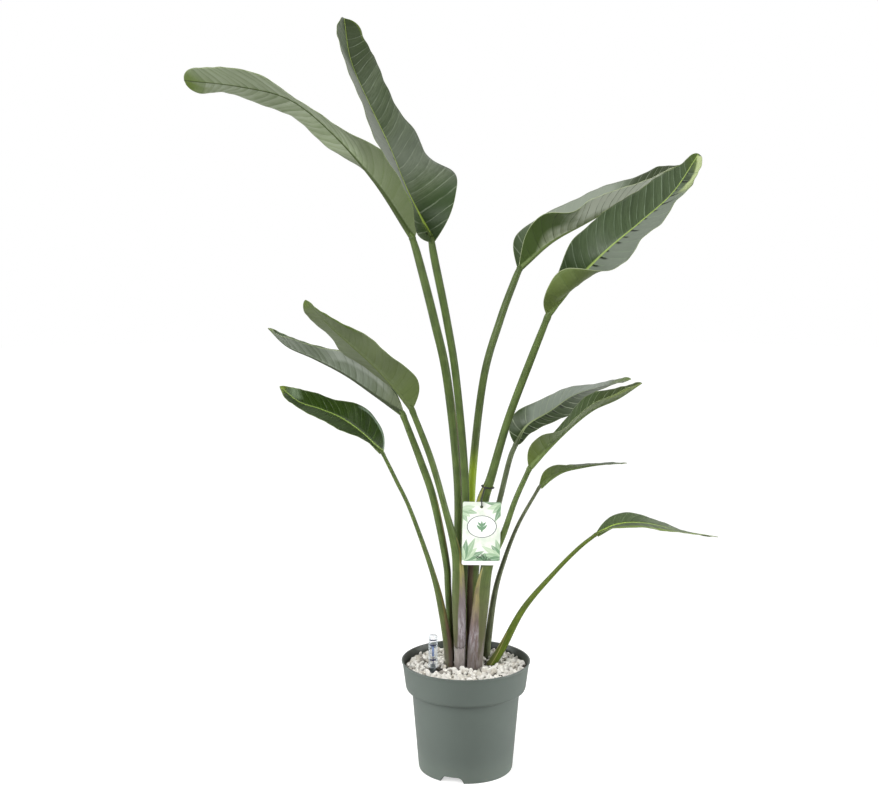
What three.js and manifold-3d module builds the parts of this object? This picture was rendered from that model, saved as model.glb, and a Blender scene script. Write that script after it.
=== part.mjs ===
// A bird of paradise in a culture pot: eleven long-stalked leaves, mineral granules, a water gauge
// and a plain tag. Millimetres, +Z up, +X to the right, +Y to the back. The origin is the middle of
// the pot's underside.
import * as THREE from 'three';
import loadManifold from 'manifold-3d';

const wasm = await loadManifold();
wasm.setup();

// Driving dimensions.

const GAP = 0.3; // clearance between pieces that touch
const ROOM = 0.35; // clearance between the granules and the pot

const POT = {
  height: 190,
  rimRadius: 110,
  footRadius: 81,
  collarFoot: 141, // where the deep collar starts
  floor: 2.5,
  segments: 40,
};
const CHANNEL = {
  width: 41,
  height: 10.5,
  roof: 2,
  from: 25, // distance of its inner end from the axis
  drain: 8,
  headings: [252, 12, 132], // degrees from +X
};
const GRANULES = { level: 177, roughness: 2.6, rings: 10, seed: 7 };
const ROOTSTOCK = { centre: [5, 18, 112], radii: [47, 38, 15] };
// Heading in degrees, reach from the axis and height of each root's end.
const ROOTS = [
  [32, 62, 34],
  [98, 54, 40],
  [160, 64, 28],
  [248, 66, 42],
  [318, 70, 24],
];
const GAUGE = { x: -56, y: -25, pipe: 14, bore: 11, clear: 15.6, top: 241, neckTop: 184.3, segments: 14 };
const FLOAT = { radius: 4.9, length: 40, rod: 0.9, indicator: 2, from: 203.5, to: 221 };
const TAG = { width: 64, height: 108, thickness: 1, corner: 3, hole: 2.6, holeDrop: 8.2, turn: -1 };
const LOOP = { wire: 1.1, ring: 5.4, slack: 1, stalkShare: 0.532 };
const STALK_SIDES = 8;
const PLEAT = 0.7; // height of the ribs between a blade's veins

const RADIANS = Math.PI / 180;

// The leaves, as they grew.

// rib: points of the midrib from neck to tip. stalk: centre, half width and half depth from foot to
// neck, sheath included. roll: degrees that the upper face turns to the blade's right. fold and curl:
// degrees that the left and the right half rise at the midrib and gain on the way to the margin.
// shape: place of the widest point, then the two exponents of the taper. Lists run along the leaf.
const LEAVES = [
  {
    name: 'leaf_01',
    rows: 15,
    columns: 3,
    width: [66, 66],
    shape: [0.3, 3.2, 0.5],
    wave: [1.5, 5],
    rib: [
      [-92, 60, 909], [-152, 74, 1000], [-222, 87, 1080], [-297, 91, 1139], [-383, 95, 1161],
      [-479, 104, 1172],
    ],
    roll: [25, 27, 16, 12, 16, 26],
    fold: [[50, 40, 24, 8, -5, -6, 3, 3, 8], [80, 46, 13, -13, -15, -7, -4, 9, -8]],
    trim: [
      [1.5, 1.15, 1.05, 1, 0.95, 0.99, 1.08, 1.19, 0.96, 1.03, 1.04],
      [0.45, 0.45, 0.45, 0.73, 0.9, 1.06, 1.11, 1.07, 1.01, 1.04, 1.18],
    ],
    stalk: [
      [-10, 24, 122, 7.5, 7.5],
      [-10, 26, 197, 7.5, 7.5],
      [-13, 25, 357, 7.4, 7.4],
      [-14, 25, 497, 7.4, 7.4],
      [-32, 36, 667, 7.4, 7.4],
      [-54, 46, 768, 7.3, 7.3],
      [-80, 57, 869, 6.8, 6.8],
      [-92, 60, 909, 5.5, 5.5],
    ],
  },
  {
    name: 'leaf_02',
    rows: 15,
    columns: 4,
    width: [88, 92],
    shape: [0.24, 2.8, 0.5],
    wave: [2, 4],
    up: [1, 0, 0],
    rib: [
      [-57, 0, 903], [-95, 3, 978], [-126, 6, 1054], [-160, 12, 1125], [-190, 20, 1195],
      [-201, 30, 1263],
    ],
    roll: [-62, -37, -24, -22, -28, -36],
    fold: [[33, 42, 30, 16, 11, 13, 19, 20, 25], [51, 34, 12, 1, 16, 14, 12, 9, 9]],
    trim: [
      [1.42, 1.26, 1.15, 1.09, 1, 1.02, 0.99, 1.02, 0.96, 0.91, 0.84],
      [0.96, 0.93, 1.35, 1.22, 0.88, 0.76, 0.76, 0.87, 0.76, 0.77, 1.1],
    ],
    stalk: [
      [-6, 9, 122, 6.5, 6.5],
      [-4, 9, 203, 6.5, 6.5],
      [-3, 8, 362, 6.5, 6.5],
      [-2, 6, 501, 6.5, 6.5],
      [-17, 4, 671, 6.5, 6.5],
      [-33, 2, 771, 6.5, 6.5],
      [-53, 0, 870, 6.5, 6.5],
      [-59, 0, 906, 5.2, 5.2],
    ],
  },
  {
    name: 'leaf_03',
    rows: 13,
    columns: 3,
    width: [72, 62],
    shape: [0.3, 2, 0.7],
    wave: [1.5, 4],
    rib: [
      [93, 85, 855], [145, 80, 901], [202, 74, 933], [260, 66, 965], [317, 58, 996],
      [374, 50, 1022],
    ],
    roll: [14, 4, 11, 8, 7, 3],
    fold: [[78, 46, 33, 27, 28, 26, 24, 26, 27], [72, 59, 45, 29, 33, 27, 24, 24, 37]],
    trim: [
      [1.33, 1.16, 1.06, 0.98, 1, 0.98, 0.95, 0.88, 1.04, 1.13, 1.21],
      [0.64, 0.91, 1.18, 1.15, 1.14, 1.08, 0.94, 0.94, 0.89, 1.1, 1.4],
    ],
    stalk: [
      [3, 40, 122, 6.8, 6.8],
      [5, 40, 193, 6.8, 6.8],
      [9, 41, 353, 6.8, 6.8],
      [11, 46, 493, 6.8, 6.8],
      [30, 58, 665, 6.6, 6.6],
      [59, 72, 767, 6.4, 6.4],
      [84, 83, 834, 6, 6],
      [93, 85, 855, 5.2, 5.2],
    ],
  },
  {
    name: 'leaf_04',
    rows: 17,
    columns: 4,
    width: [72, 70],
    shape: [0.3, 3, 0.5],
    wave: [2, 5],
    rib: [
      [133, -40, 784], [172, -47, 834], [222, -56, 886], [276, -66, 933], [324, -75, 978],
      [362, -84, 1038],
    ],
    roll: [14, 46, 43, 38, 39, 40],
    fold: [[55, 52, 55, 26, 14, 9, 11, 9, 11], [61, 14, -4, 3, 11, 11, 12, 3, 6]],
    trim: [
      [0.53, 0.45, 0.64, 0.78, 0.86, 0.94, 0.77, 0.79, 0.56, 0.45, 0.45],
      [1.36, 1.22, 1.03, 0.76, 0.8, 0.72, 0.71, 0.45, 0.66, 1.05, 1.21],
    ],
    curl: [[0, 0], [10, 150, 0, 0, 0, 60]],
    stalk: [
      [8, 12, 122, 9, 8],
      [7, 13, 202, 9, 8],
      [14, 12, 361, 10, 7.5],
      [26.5, 7, 457, 10.5, 7],
      [41.5, 2, 505, 7.6, 6.8],
      [69, -10, 605, 6.6, 6.6],
      [105, -24, 707, 6.4, 6.4],
      [133, -40, 784, 5.2, 5.2],
    ],
  },
  {
    name: 'leaf_05',
    rows: 13,
    columns: 3,
    width: [45, 45],
    shape: [0.35, 2, 0.8],
    wave: [1.5, 4],
    rib: [
      [-109, 50, 609], [-154, 53, 641], [-205, 58, 675], [-260, 66, 702], [-307, 73, 722],
      [-340, 80, 752],
    ],
    roll: [0, 0, 2, 3, -1, -4],
    fold: [[59, 57, 55, 55, 56, 49, 47, 42, 40], [49, 44, 40, 39, 39, 30, 30, 31, 36]],
    trim: [
      [1.01, 1.02, 1.02, 1, 0.93, 0.73, 0.75, 0.82, 0.82, 0.83, 0.85],
      [0.98, 1.02, 1.06, 1.12, 1.14, 0.97, 0.81, 0.87, 0.7, 0.72, 0.93],
    ],
    stalk: [
      [-26, 24, 122, 6, 6],
      [-25, 26, 197, 6, 6],
      [-30, 28, 304, 6, 6],
      [-34, 30, 356, 6.2, 6.2],
      [-55, 36, 460, 6.4, 6.4],
      [-78, 43, 528, 6.2, 6.2],
      [-109, 50, 609, 5, 5],
    ],
  },
  {
    name: 'leaf_06',
    rows: 13,
    columns: 3,
    width: [46, 46],
    shape: [0.33, 2.2, 0.6],
    wave: [1, 4],
    rib: [
      [-92, -20, 627], [-120, -24, 664], [-153, -28, 700], [-188, -33, 732], [-225, -38, 766],
      [-263, -44, 807],
    ],
    roll: [36, 32, 28, 29, 22, 19],
    fold: [[22, 19, 13, 6, 9, 4, -1, -9, -8], [49, 28, 18, 9, 5, 1, 2, -7, -14]],
    trim: [
      [1.6, 1.4, 1.15, 1.1, 1.06, 1.02, 1.04, 1.02, 0.97, 0.96, 0.96],
      [0.9, 0.88, 0.93, 0.98, 0.99, 1, 0.84, 0.91, 1.09, 1.22, 1.3],
    ],
    stalk: [
      [-11, -8, 122, 10, 8],
      [-10, -8, 200, 10, 9],
      [-12, -9, 296, 12, 8],
      [-16, -10, 375, 8.5, 6.5],
      [-34, -13, 449, 5.6, 5.6],
      [-59, -17, 539, 5.4, 5.4],
      [-92, -20, 627, 4.8, 4.8],
    ],
  },
  {
    name: 'leaf_07',
    rows: 11,
    columns: 3,
    width: [36, 38],
    shape: [0.3, 2.2, 0.75],
    wave: [1, 4],
    rib: [
      [-141, -10, 551], [-174, -16, 585], [-208, -24, 611], [-242, -32, 627], [-276, -40, 640],
      [-306, -48, 666],
    ],
    roll: [-53, -40, -42, -37, -37, -46],
    fold: [[40, 37, 26, 17, 13, 12, 17, 16, 14], [9, 10, 14, 16, 12, 12, 17, 20, 20]],
    trim: [
      [0.93, 0.96, 1.04, 1.04, 1.02, 1.02, 0.96, 0.92, 1, 1.08, 1.15],
      [1.36, 1.2, 1.2, 0.98, 0.8, 0.78, 0.83, 0.86, 0.76, 0.71, 0.74],
    ],
    stalk: [
      [-28, 2, 122, 7, 6],
      [-29, 3, 196, 8, 7],
      [-39, 2, 267, 7, 5.5],
      [-57, -1, 343, 4.6, 4.6],
      [-93, -5, 448, 3.4, 3.4],
      [-118, -8, 503, 3.3, 3.3],
      [-141, -10, 551, 3, 3],
    ],
  },
  {
    name: 'leaf_08',
    rows: 13,
    columns: 3,
    width: [42, 42],
    shape: [0.3, 2.2, 0.7],
    wave: [1, 4],
    rib: [
      [87, 65, 553], [106, 63, 586], [145, 60, 611], [185, 56, 639], [232, 51, 655],
      [281, 45, 668],
    ],
    roll: [36, 36, 26, 13, 4, 7],
    fold: [[64, 35, 13, 6, 4, 0, 1, 1, 12], [-21, -29, -18, -7, -5, 0, 4, 5, 6]],
    trim: [
      [1.08, 0.96, 0.82, 0.92, 0.98, 0.93, 0.97, 0.94, 0.99, 1.1, 1.17],
      [1.02, 0.8, 0.54, 0.78, 1.2, 1.24, 1.15, 1.07, 1.02, 0.99, 0.98],
    ],
    curl: [[0, 0], [150, 100, 0, 0, 0, 0, 0]],
    stalk: [
      [16, 34, 122, 6, 6],
      [18, 34, 195, 6, 6],
      [25, 34, 302, 5.6, 5.6],
      [41, 42, 388, 5.2, 5.2],
      [59, 53, 457, 4.8, 4.8],
      [76, 62, 525, 4.6, 4.6],
      [87, 65, 553, 4.2, 4.2],
    ],
  },
  {
    name: 'leaf_09',
    rows: 13,
    columns: 3,
    width: [40, 40],
    shape: [0.3, 2.2, 0.7],
    wave: [1, 4],
    rib: [
      [106, -22, 528], [135, -27, 562], [170, -32, 597], [207, -38, 627], [247, -44, 646],
      [285, -50, 672],
    ],
    roll: [7, 4, 9, 5, 1, 3],
    fold: [[31, 27, 22, 22, 27, 29, 28, 23, 23], [74, 54, 39, 18, 20, 20, 22, 21, 21]],
    trim: [
      [0.95, 0.71, 0.5, 0.6, 0.82, 0.98, 1.08, 1, 0.93, 0.97, 1.04],
      [1.06, 1.05, 1.11, 1.08, 1.08, 1.07, 1.06, 1.11, 1.06, 1.06, 1.08],
    ],
    stalk: [
      [14, -8, 122, 12, 8],
      [15.5, -8, 200, 14.2, 9.5],
      [25.5, -9, 296, 13.8, 8.5],
      [37, -9, 357, 9, 6.5],
      [61, -12, 408, 5.5, 5],
      [82, -17, 471, 4.6, 4.6],
      [106, -22, 528, 4.2, 4.2],
    ],
  },
  {
    name: 'leaf_10',
    rows: 10,
    columns: 2,
    width: [18, 18],
    shape: [0.3, 2, 0.8],
    wave: [0.5, 4],
    rib: [
      [127, 40, 483], [146, 40, 499], [167, 40, 511], [194, 40, 517], [230, 40, 522],
      [276, 40, 524],
    ],
    roll: [-1, -2, 3, -3, -2, 0],
    fold: [[10, 10, 9, 8, 5, 2, 1, 0, 0], [66, 66, 53, 30, 17, 9, 3, 0, -1]],
    trim: [
      [1, 1, 1, 1, 1, 1, 1, 1, 1, 1, 1],
      [1.15, 1.3, 1.22, 1.01, 0.89, 0.8, 0.77, 0.86, 0.94, 0.99, 1.03],
    ],
    stalk: [
      [35, 52, 122, 6.8, 6],
      [37, 48.5, 183, 6.8, 6],
      [50, 45, 288, 5, 4.8],
      [67, 43, 353, 3.8, 3.8],
      [91, 41, 417, 3.1, 3.1],
      [127, 40, 483, 2.8, 2.8],
    ],
  },
  {
    name: 'leaf_11',
    rows: 11,
    columns: 3,
    width: [27, 25],
    shape: [0.32, 2, 0.8],
    wave: [0.7, 4],
    rib: [[221, 0, 409], [255, -4, 427], [301, -8, 430], [360, -12, 418], [423, -16, 408]],
    roll: [13, 17, 11, 2, -6, -9],
    fold: [[18, 14, 10, 4, 1, -1, -5, -12, -13], [18, 14, 9, 4, 0, -1, 0, 0, 0]],
    trim: [
      [1.17, 1.12, 1.08, 1.03, 1.01, 1, 1.02, 1.06, 1.09, 1.13, 1.16],
      [1, 1, 1, 1, 1, 1, 1, 1, 1, 1, 1],
    ],
    stalk: [
      [30, 6, 122, 8, 8],
      [37, 8, 164, 8.5, 8],
      [63, 7, 209, 7.2, 6.8],
      [99, 5, 278, 5.2, 5.2],
      [151, 2, 342, 3.8, 3.8],
      [191, 1, 384, 3.4, 3.4],
      [221, 0, 409, 3, 3],
    ],
  },
];

// The order in which the sheaths lie from the inside out: each clasps those before it.
const INSIDE_OUT = [2, 4, 1, 3, 6, 9, 7, 5, 8, 10, 11].map((number) => LEAVES[number - 1]);

// Solids.

function vector([x, y, z]) {
  return new THREE.Vector3(x, y, z);
}

function indexed(points, faces) {
  const geometry = new THREE.BufferGeometry();
  const coordinates = points.flatMap((point) => point.toArray());
  geometry.setAttribute('position', new THREE.Float32BufferAttribute(coordinates, 3));
  geometry.setIndex(faces.flat());
  return geometry;
}

// Joins the vertices that lie on each other and leaves out triangles with no area.
function solid(geometry) {
  const position = geometry.getAttribute('position');
  const corners = geometry.index ? Array.from(geometry.index.array) : Array.from(position.array.keys());
  const known = new Map();
  const points = [];
  const number = [];
  for (let i = 0; i < position.count; i += 1) {
    const point = [position.getX(i), position.getY(i), position.getZ(i)];
    const key = point.map((value) => Math.round(value * 1000)).join();
    if (!known.has(key)) {
      known.set(key, points.length / 3);
      points.push(...point);
    }
    number.push(known.get(key));
  }
  const faces = [];
  const count = geometry.index ? corners.length : position.count;
  for (let i = 0; i < count; i += 3) {
    const face = [number[corners[i]], number[corners[i + 1]], number[corners[i + 2]]];
    if (new Set(face).size === 3) {
      faces.push(...face);
    }
  }
  const vertProperties = new Float32Array(points);
  const triVerts = new Uint32Array(faces);
  return new wasm.Manifold(new wasm.Mesh({ numProp: 3, vertProperties, triVerts }));
}

function piece(name, body, colour, roughness, extra = {}) {
  const mesh = body.getMesh();
  const geometry = new THREE.BufferGeometry();
  geometry.setAttribute('position', new THREE.BufferAttribute(Float32Array.from(mesh.vertProperties), 3));
  geometry.setIndex(new THREE.BufferAttribute(Uint32Array.from(mesh.triVerts), 1));
  const material = new THREE.MeshStandardMaterial({ color: colour, roughness, metalness: 0, ...extra });
  const result = new THREE.Mesh(geometry, material);
  result.name = name;
  return result;
}

// Turns a profile of [radius, height] pairs round the Z axis.
function turned(profile, segments) {
  const points = profile.map(([radius, height]) => new THREE.Vector2(radius, height));
  return solid(new THREE.LatheGeometry(points, segments).rotateX(Math.PI / 2));
}

function wire(points, radius, sides, steps) {
  const path = new THREE.CatmullRomCurve3(points.map(vector));
  const circle = new THREE.Shape();
  for (let i = 0; i < sides; i += 1) {
    const angle = (i / sides) * 2 * Math.PI;
    const corner = [radius * Math.cos(angle), radius * Math.sin(angle)];
    if (i === 0) {
      circle.moveTo(...corner);
    } else {
      circle.lineTo(...corner);
    }
  }
  return solid(new THREE.ExtrudeGeometry(circle, { steps, extrudePath: path }));
}

function random(seed) {
  let state = seed;
  return () => {
    state = (state * 16807) % 2147483647;
    return state / 2147483647;
  };
}

// Curves.

// A smooth curve through evenly spaced values, each a number or a list of numbers.
function smooth(values, share) {
  const last = values.length - 1;
  const along = Math.min(Math.max(share, 0), 1) * last;
  const i = Math.min(Math.floor(along), last - 1);
  const f = along - i;
  const blend = (pick) => {
    const p1 = pick(values[i]);
    const p2 = pick(values[i + 1]);
    const p0 = i > 0 ? pick(values[i - 1]) : 2 * p1 - p2;
    const p3 = i < last - 1 ? pick(values[i + 2]) : 2 * p2 - p1;
    const square = 2 * p0 - 5 * p1 + 4 * p2 - p3;
    const cube = 3 * p1 - p0 - 3 * p2 + p3;
    return 0.5 * (2 * p1 + (p2 - p0) * f + square * f * f + cube * f * f * f);
  };
  if (typeof values[0] === 'number') {
    return blend((value) => value);
  }
  return values[0].map((_, axis) => blend((value) => value[axis]));
}

// The midrib by its length: point and direction at a distance from the neck, straight past the ends.
class Rib {
  constructor(points) {
    this.points = points;
    this.marks = [0];
    let before = vector(smooth(points, 0));
    for (let i = 1; i <= 400; i += 1) {
      const here = vector(smooth(points, i / 400));
      this.marks.push(this.marks[i - 1] + here.distanceTo(before));
      before = here;
    }
    this.length = this.marks[400];
  }

  at(distance) {
    const within = Math.min(Math.max(distance, 0), this.length);
    let i = 1;
    while (i < 400 && this.marks[i] < within) {
      i += 1;
    }
    const part = (within - this.marks[i - 1]) / (this.marks[i] - this.marks[i - 1]);
    const share = (i - 1 + part) / 400;
    const ahead = vector(smooth(this.points, share + 0.001));
    const direction = ahead.sub(vector(smooth(this.points, share - 0.001))).normalize();
    const point = vector(smooth(this.points, share)).addScaledVector(direction, distance - within);
    return { point, direction };
  }
}

// Blades.

// Half width along the leaf as a share of the widest.
function taper(u, [widest, power, root]) {
  const rise = 0.04 + 0.96 * (1 - (1 - Math.min(u / widest, 1)) ** 3.2);
  const past = Math.max(0, (u - widest) / (1 - widest));
  return Math.max(rise * Math.max(1 - past ** power, 0) ** root, 0.012);
}

// A point of the upper face: u runs from neck to tip, v from the left margin (-1) to the right (1).
function bladePoint(leaf, rib, u, v) {
  const side = v >= 0 ? 1 : 0;
  const sign = side ? 1 : -1;
  const width = leaf.width[side];
  const trim = leaf.trim ? smooth(leaf.trim[side], u) : 1;
  const reach = width * taper(u, leaf.shape) * trim * Math.abs(v);
  const back = -0.01 * rib.length * (1 - Math.min(u / 0.22, 1)) ** 1.5;
  const forward = 0.1 * rib.length * Math.min(u / 0.3, 1) * Math.min((1 - u) / 0.25, 1);
  const distance = u * rib.length + (back + forward) * Math.abs(v) ** 1.4;
  const { point, direction } = rib.at(distance);
  const share = Math.min(Math.max(distance / rib.length, 0), 1);
  const up = vector(leaf.up ?? [0, 0, 1]);
  up.addScaledVector(direction, -up.dot(direction)).normalize();
  const across = direction.clone().cross(up);
  const roll = smooth(leaf.roll, share) * RADIANS;
  const normal = up.multiplyScalar(Math.cos(roll)).addScaledVector(across, Math.sin(roll));
  const right = direction.clone().cross(normal);
  const fold = smooth(leaf.fold[side], share) * RADIANS;
  const bend = leaf.curl ? smooth(leaf.curl[side], share) * RADIANS : 0;
  const curl = Math.abs(bend) < 0.001 ? 0.001 : bend;
  const angle = fold + (curl * reach) / width;
  const outward = (width / curl) * (Math.sin(angle) - Math.sin(fold));
  const upward = (-width / curl) * (Math.cos(angle) - Math.cos(fold));
  const [height, waves] = leaf.wave;
  const phase = 2 * Math.PI * waves * u + (side ? 0 : 1.7);
  const ends = Math.min(u / 0.1, 1) * Math.min((1 - u) / 0.1, 1);
  const wave = height * v * v * Math.sin(phase) * ends;
  return point
    .addScaledVector(right, sign * (outward - wave * Math.sin(angle)))
    .addScaledVector(normal, upward + wave * Math.cos(angle));
}

// The blade is a thin shell whose underside carries the midrib. The rows between the veins stand up
// and down by turns, so both faces are pleated alike.
function blade(leaf) {
  const rib = new Rib(leaf.rib);
  const half = leaf.columns;
  const across = 2 * half + 1;
  const upper = [];
  for (let i = 0; i < leaf.rows; i += 1) {
    const even = i / (leaf.rows - 1);
    const u = 0.75 * even + 0.25 * (1 - Math.cos(Math.PI * even)) / 2;
    const reach = (leaf.width[0] + leaf.width[1]) / 2 * taper(u, leaf.shape);
    const keel = Math.min(3.6 - 2.2 * u, 0.35 * reach) / reach;
    for (let j = -half; j <= half; j += 1) {
      const step = Math.abs(j);
      const v = step === 0 ? 0 : keel + ((1 - keel) * (step - 1)) / (half - 1);
      upper.push({ point: bladePoint(leaf, rib, u, Math.sign(j) * v), u, v, step });
    }
  }
  const at = (i, j) => {
    const row = Math.min(Math.max(i, 0), leaf.rows - 1);
    return upper[row * across + Math.min(Math.max(j, 0), across - 1)].point;
  };
  const points = upper.map(({ point }) => point.clone());
  const under = [];
  upper.forEach(({ point, u, v, step }, index) => {
    const i = Math.floor(index / across);
    const j = index % across;
    const along = at(i + 1, j).clone().sub(at(i - 1, j));
    const normal = at(i, j + 1).clone().sub(at(i, j - 1)).cross(along).normalize();
    const rise = PLEAT * (i % 2 === 0 ? 1 : -1) * Math.sin(Math.PI * v) * Math.min((1 - u) / 0.1, 1);
    points[index].addScaledVector(normal, rise);
    const keel = step === 0 ? 4.2 * (1 - u) + 0.4 : 0;
    const depth = 0.9 + 0.5 * (1 - v) * (1 - u) + keel;
    under.push(point.clone().addScaledVector(normal, rise - depth));
  });
  points.push(...under);
  const back = upper.length;
  const faces = [];
  const quad = (a, b, c, d) => faces.push([a, b, c], [a, c, d]);
  for (let i = 0; i < leaf.rows - 1; i += 1) {
    for (let j = 0; j < across - 1; j += 1) {
      const a = i * across + j;
      const b = a + 1;
      const c = b + across;
      const d = a + across;
      quad(a, b, c, d);
      faces.push([back + a, back + c, back + b], [back + a, back + d, back + c]);
    }
  }
  const rim = [];
  for (let j = 0; j < across; j += 1) {
    rim.push(j);
  }
  for (let i = 1; i < leaf.rows; i += 1) {
    rim.push(i * across + across - 1);
  }
  for (let j = across - 2; j >= 0; j -= 1) {
    rim.push((leaf.rows - 1) * across + j);
  }
  for (let i = leaf.rows - 2; i > 0; i -= 1) {
    rim.push(i * across);
  }
  rim.forEach((a, index) => {
    const b = rim[(index + 1) % rim.length];
    quad(b, a, back + a, back + b);
  });
  return solid(indexed(points, faces));
}

// Stalks and roots.

// A round body through rings of [x, y, z, half width, half depth], closed at both ends.
function limb(rings, sides, swell) {
  const centres = rings.map(vector);
  const points = [];
  rings.forEach(([, , , width, depth], i) => {
    const ahead = centres[Math.min(i + 1, rings.length - 1)];
    const direction = ahead.clone().sub(centres[Math.max(i - 1, 0)]).normalize();
    const wide = new THREE.Vector3(0, 1, 0).cross(direction).normalize();
    const deep = direction.clone().cross(wide);
    for (let k = 0; k < sides; k += 1) {
      const angle = ((k + 0.5) / sides) * 2 * Math.PI;
      const point = centres[i].clone().addScaledVector(wide, (width + swell) * Math.cos(angle));
      points.push(point.addScaledVector(deep, (depth + swell) * Math.sin(angle)));
    }
  });
  const faces = [];
  for (let i = 0; i < rings.length - 1; i += 1) {
    for (let k = 0; k < sides; k += 1) {
      const a = i * sides + k;
      const b = i * sides + ((k + 1) % sides);
      faces.push([a, b, b + sides], [a, b + sides, a + sides]);
    }
  }
  for (let k = 1; k < sides - 1; k += 1) {
    const top = (rings.length - 1) * sides;
    faces.push([0, k + 1, k], [top, top + k, top + k + 1]);
  }
  return solid(indexed(points, faces));
}

// The stalk with its sheath, from the rootstock to the neck. Its last rings run on into the midrib.
function stalk(leaf, swell = 0) {
  const count = leaf.stalk.length + 5;
  const rings = [];
  for (let i = 0; i < count; i += 1) {
    rings.push(smooth(leaf.stalk, i / (count - 1)));
  }
  const rib = new Rib(leaf.rib);
  const neck = leaf.stalk.at(-1)[3];
  for (const [distance, depth, share] of [[16, 2.2, 0.6], [34, 2.4, 0.3]]) {
    const { point } = rib.at(distance);
    const under = bladeUnderside(leaf, rib, distance / rib.length);
    point.addScaledVector(under, depth);
    rings.push([point.x, point.y, point.z, neck * share, neck * share]);
  }
  return limb(rings, STALK_SIDES, swell);
}

function bladeUnderside(leaf, rib, u) {
  const middle = bladePoint(leaf, rib, u, 0);
  const left = bladePoint(leaf, rib, u, -0.3).sub(middle).normalize();
  const right = bladePoint(leaf, rib, u, 0.3).sub(middle).normalize();
  const { direction } = rib.at(u * rib.length);
  return direction.clone().cross(right.sub(left)).normalize();
}

function growLeaves() {
  const inside = [];
  const meshes = [];
  for (const leaf of INSIDE_OUT) {
    let body = stalk(leaf).add(blade(leaf));
    for (const earlier of inside) {
      body = body.subtract(stalk(earlier, GAP));
    }
    inside.push(leaf);
    meshes.push(piece(leaf.name, body, '#55703c', 0.5));
  }
  return meshes.sort((a, b) => a.name.localeCompare(b.name));
}

// Pot.

const POT_OUTSIDE = [
  [0, 0],
  [POT.footRadius - 1, 0],
  [POT.footRadius, 3],
  [92.5, POT.collarFoot - 2],
  [97, POT.collarFoot - 1.5],
  [101.5, POT.collarFoot],
  [102.9, POT.collarFoot + 3.5],
  [POT.rimRadius - 1.5, POT.height - 3],
  [POT.rimRadius, POT.height - 2],
  [POT.rimRadius, POT.height],
];
const POT_INSIDE = [
  [POT.rimRadius - 3, POT.height],
  [101, POT.collarFoot + 4],
  [98.2, POT.collarFoot + 0.4],
  [90.4, POT.collarFoot - 1.8],
  [79.2, POT.floor + 3.5],
  [76, POT.floor],
  [0, POT.floor],
];

// A drainage channel under the floor: a long arch that runs out of the foot as a notch.
function channel(heading, swell, from, to) {
  const wide = CHANNEL.width / 2 + swell;
  const high = CHANNEL.height + swell;
  const arch = new THREE.Shape();
  arch.moveTo(-wide, -1);
  arch.lineTo(wide, -1);
  arch.lineTo(wide, 0);
  arch.lineTo(wide - 2, high * 0.5);
  arch.lineTo(wide - 5, high * 0.85);
  arch.lineTo(wide - 9, high);
  arch.lineTo(9 - wide, high);
  arch.lineTo(5 - wide, high * 0.85);
  arch.lineTo(2 - wide, high * 0.5);
  arch.lineTo(-wide, 0);
  arch.closePath();
  const geometry = new THREE.ExtrudeGeometry(arch, { depth: to - from, bevelEnabled: false, steps: 1 });
  geometry.translate(0, 0, from).rotateX(Math.PI / 2).rotateZ(Math.PI);
  geometry.rotateZ((heading - 90) * RADIANS);
  return solid(geometry);
}

function channelsOutside(swell) {
  const from = CHANNEL.from - CHANNEL.roof - swell;
  const beds = CHANNEL.headings.map((heading) => channel(heading, CHANNEL.roof + swell, from, 88));
  return beds.reduce((all, bed) => all.add(bed));
}

function buildPot() {
  const filled = turned([...POT_OUTSIDE, [0, POT.height]], POT.segments);
  let body = turned([...POT_OUTSIDE, ...POT_INSIDE], POT.segments);
  body = body.add(channelsOutside(0).intersect(filled));
  const middle = (CHANNEL.from + POT.footRadius) / 2;
  for (const heading of CHANNEL.headings) {
    body = body.subtract(channel(heading, 0, CHANNEL.from, 2 * POT.footRadius));
    const drain = new THREE.CylinderGeometry(CHANNEL.drain / 2, CHANNEL.drain / 2, 10, 10);
    drain.rotateX(Math.PI / 2).translate(middle, 0, CHANNEL.height).rotateZ(heading * RADIANS);
    body = body.subtract(solid(drain));
  }
  return body;
}

// Granules and rootstock.

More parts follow.
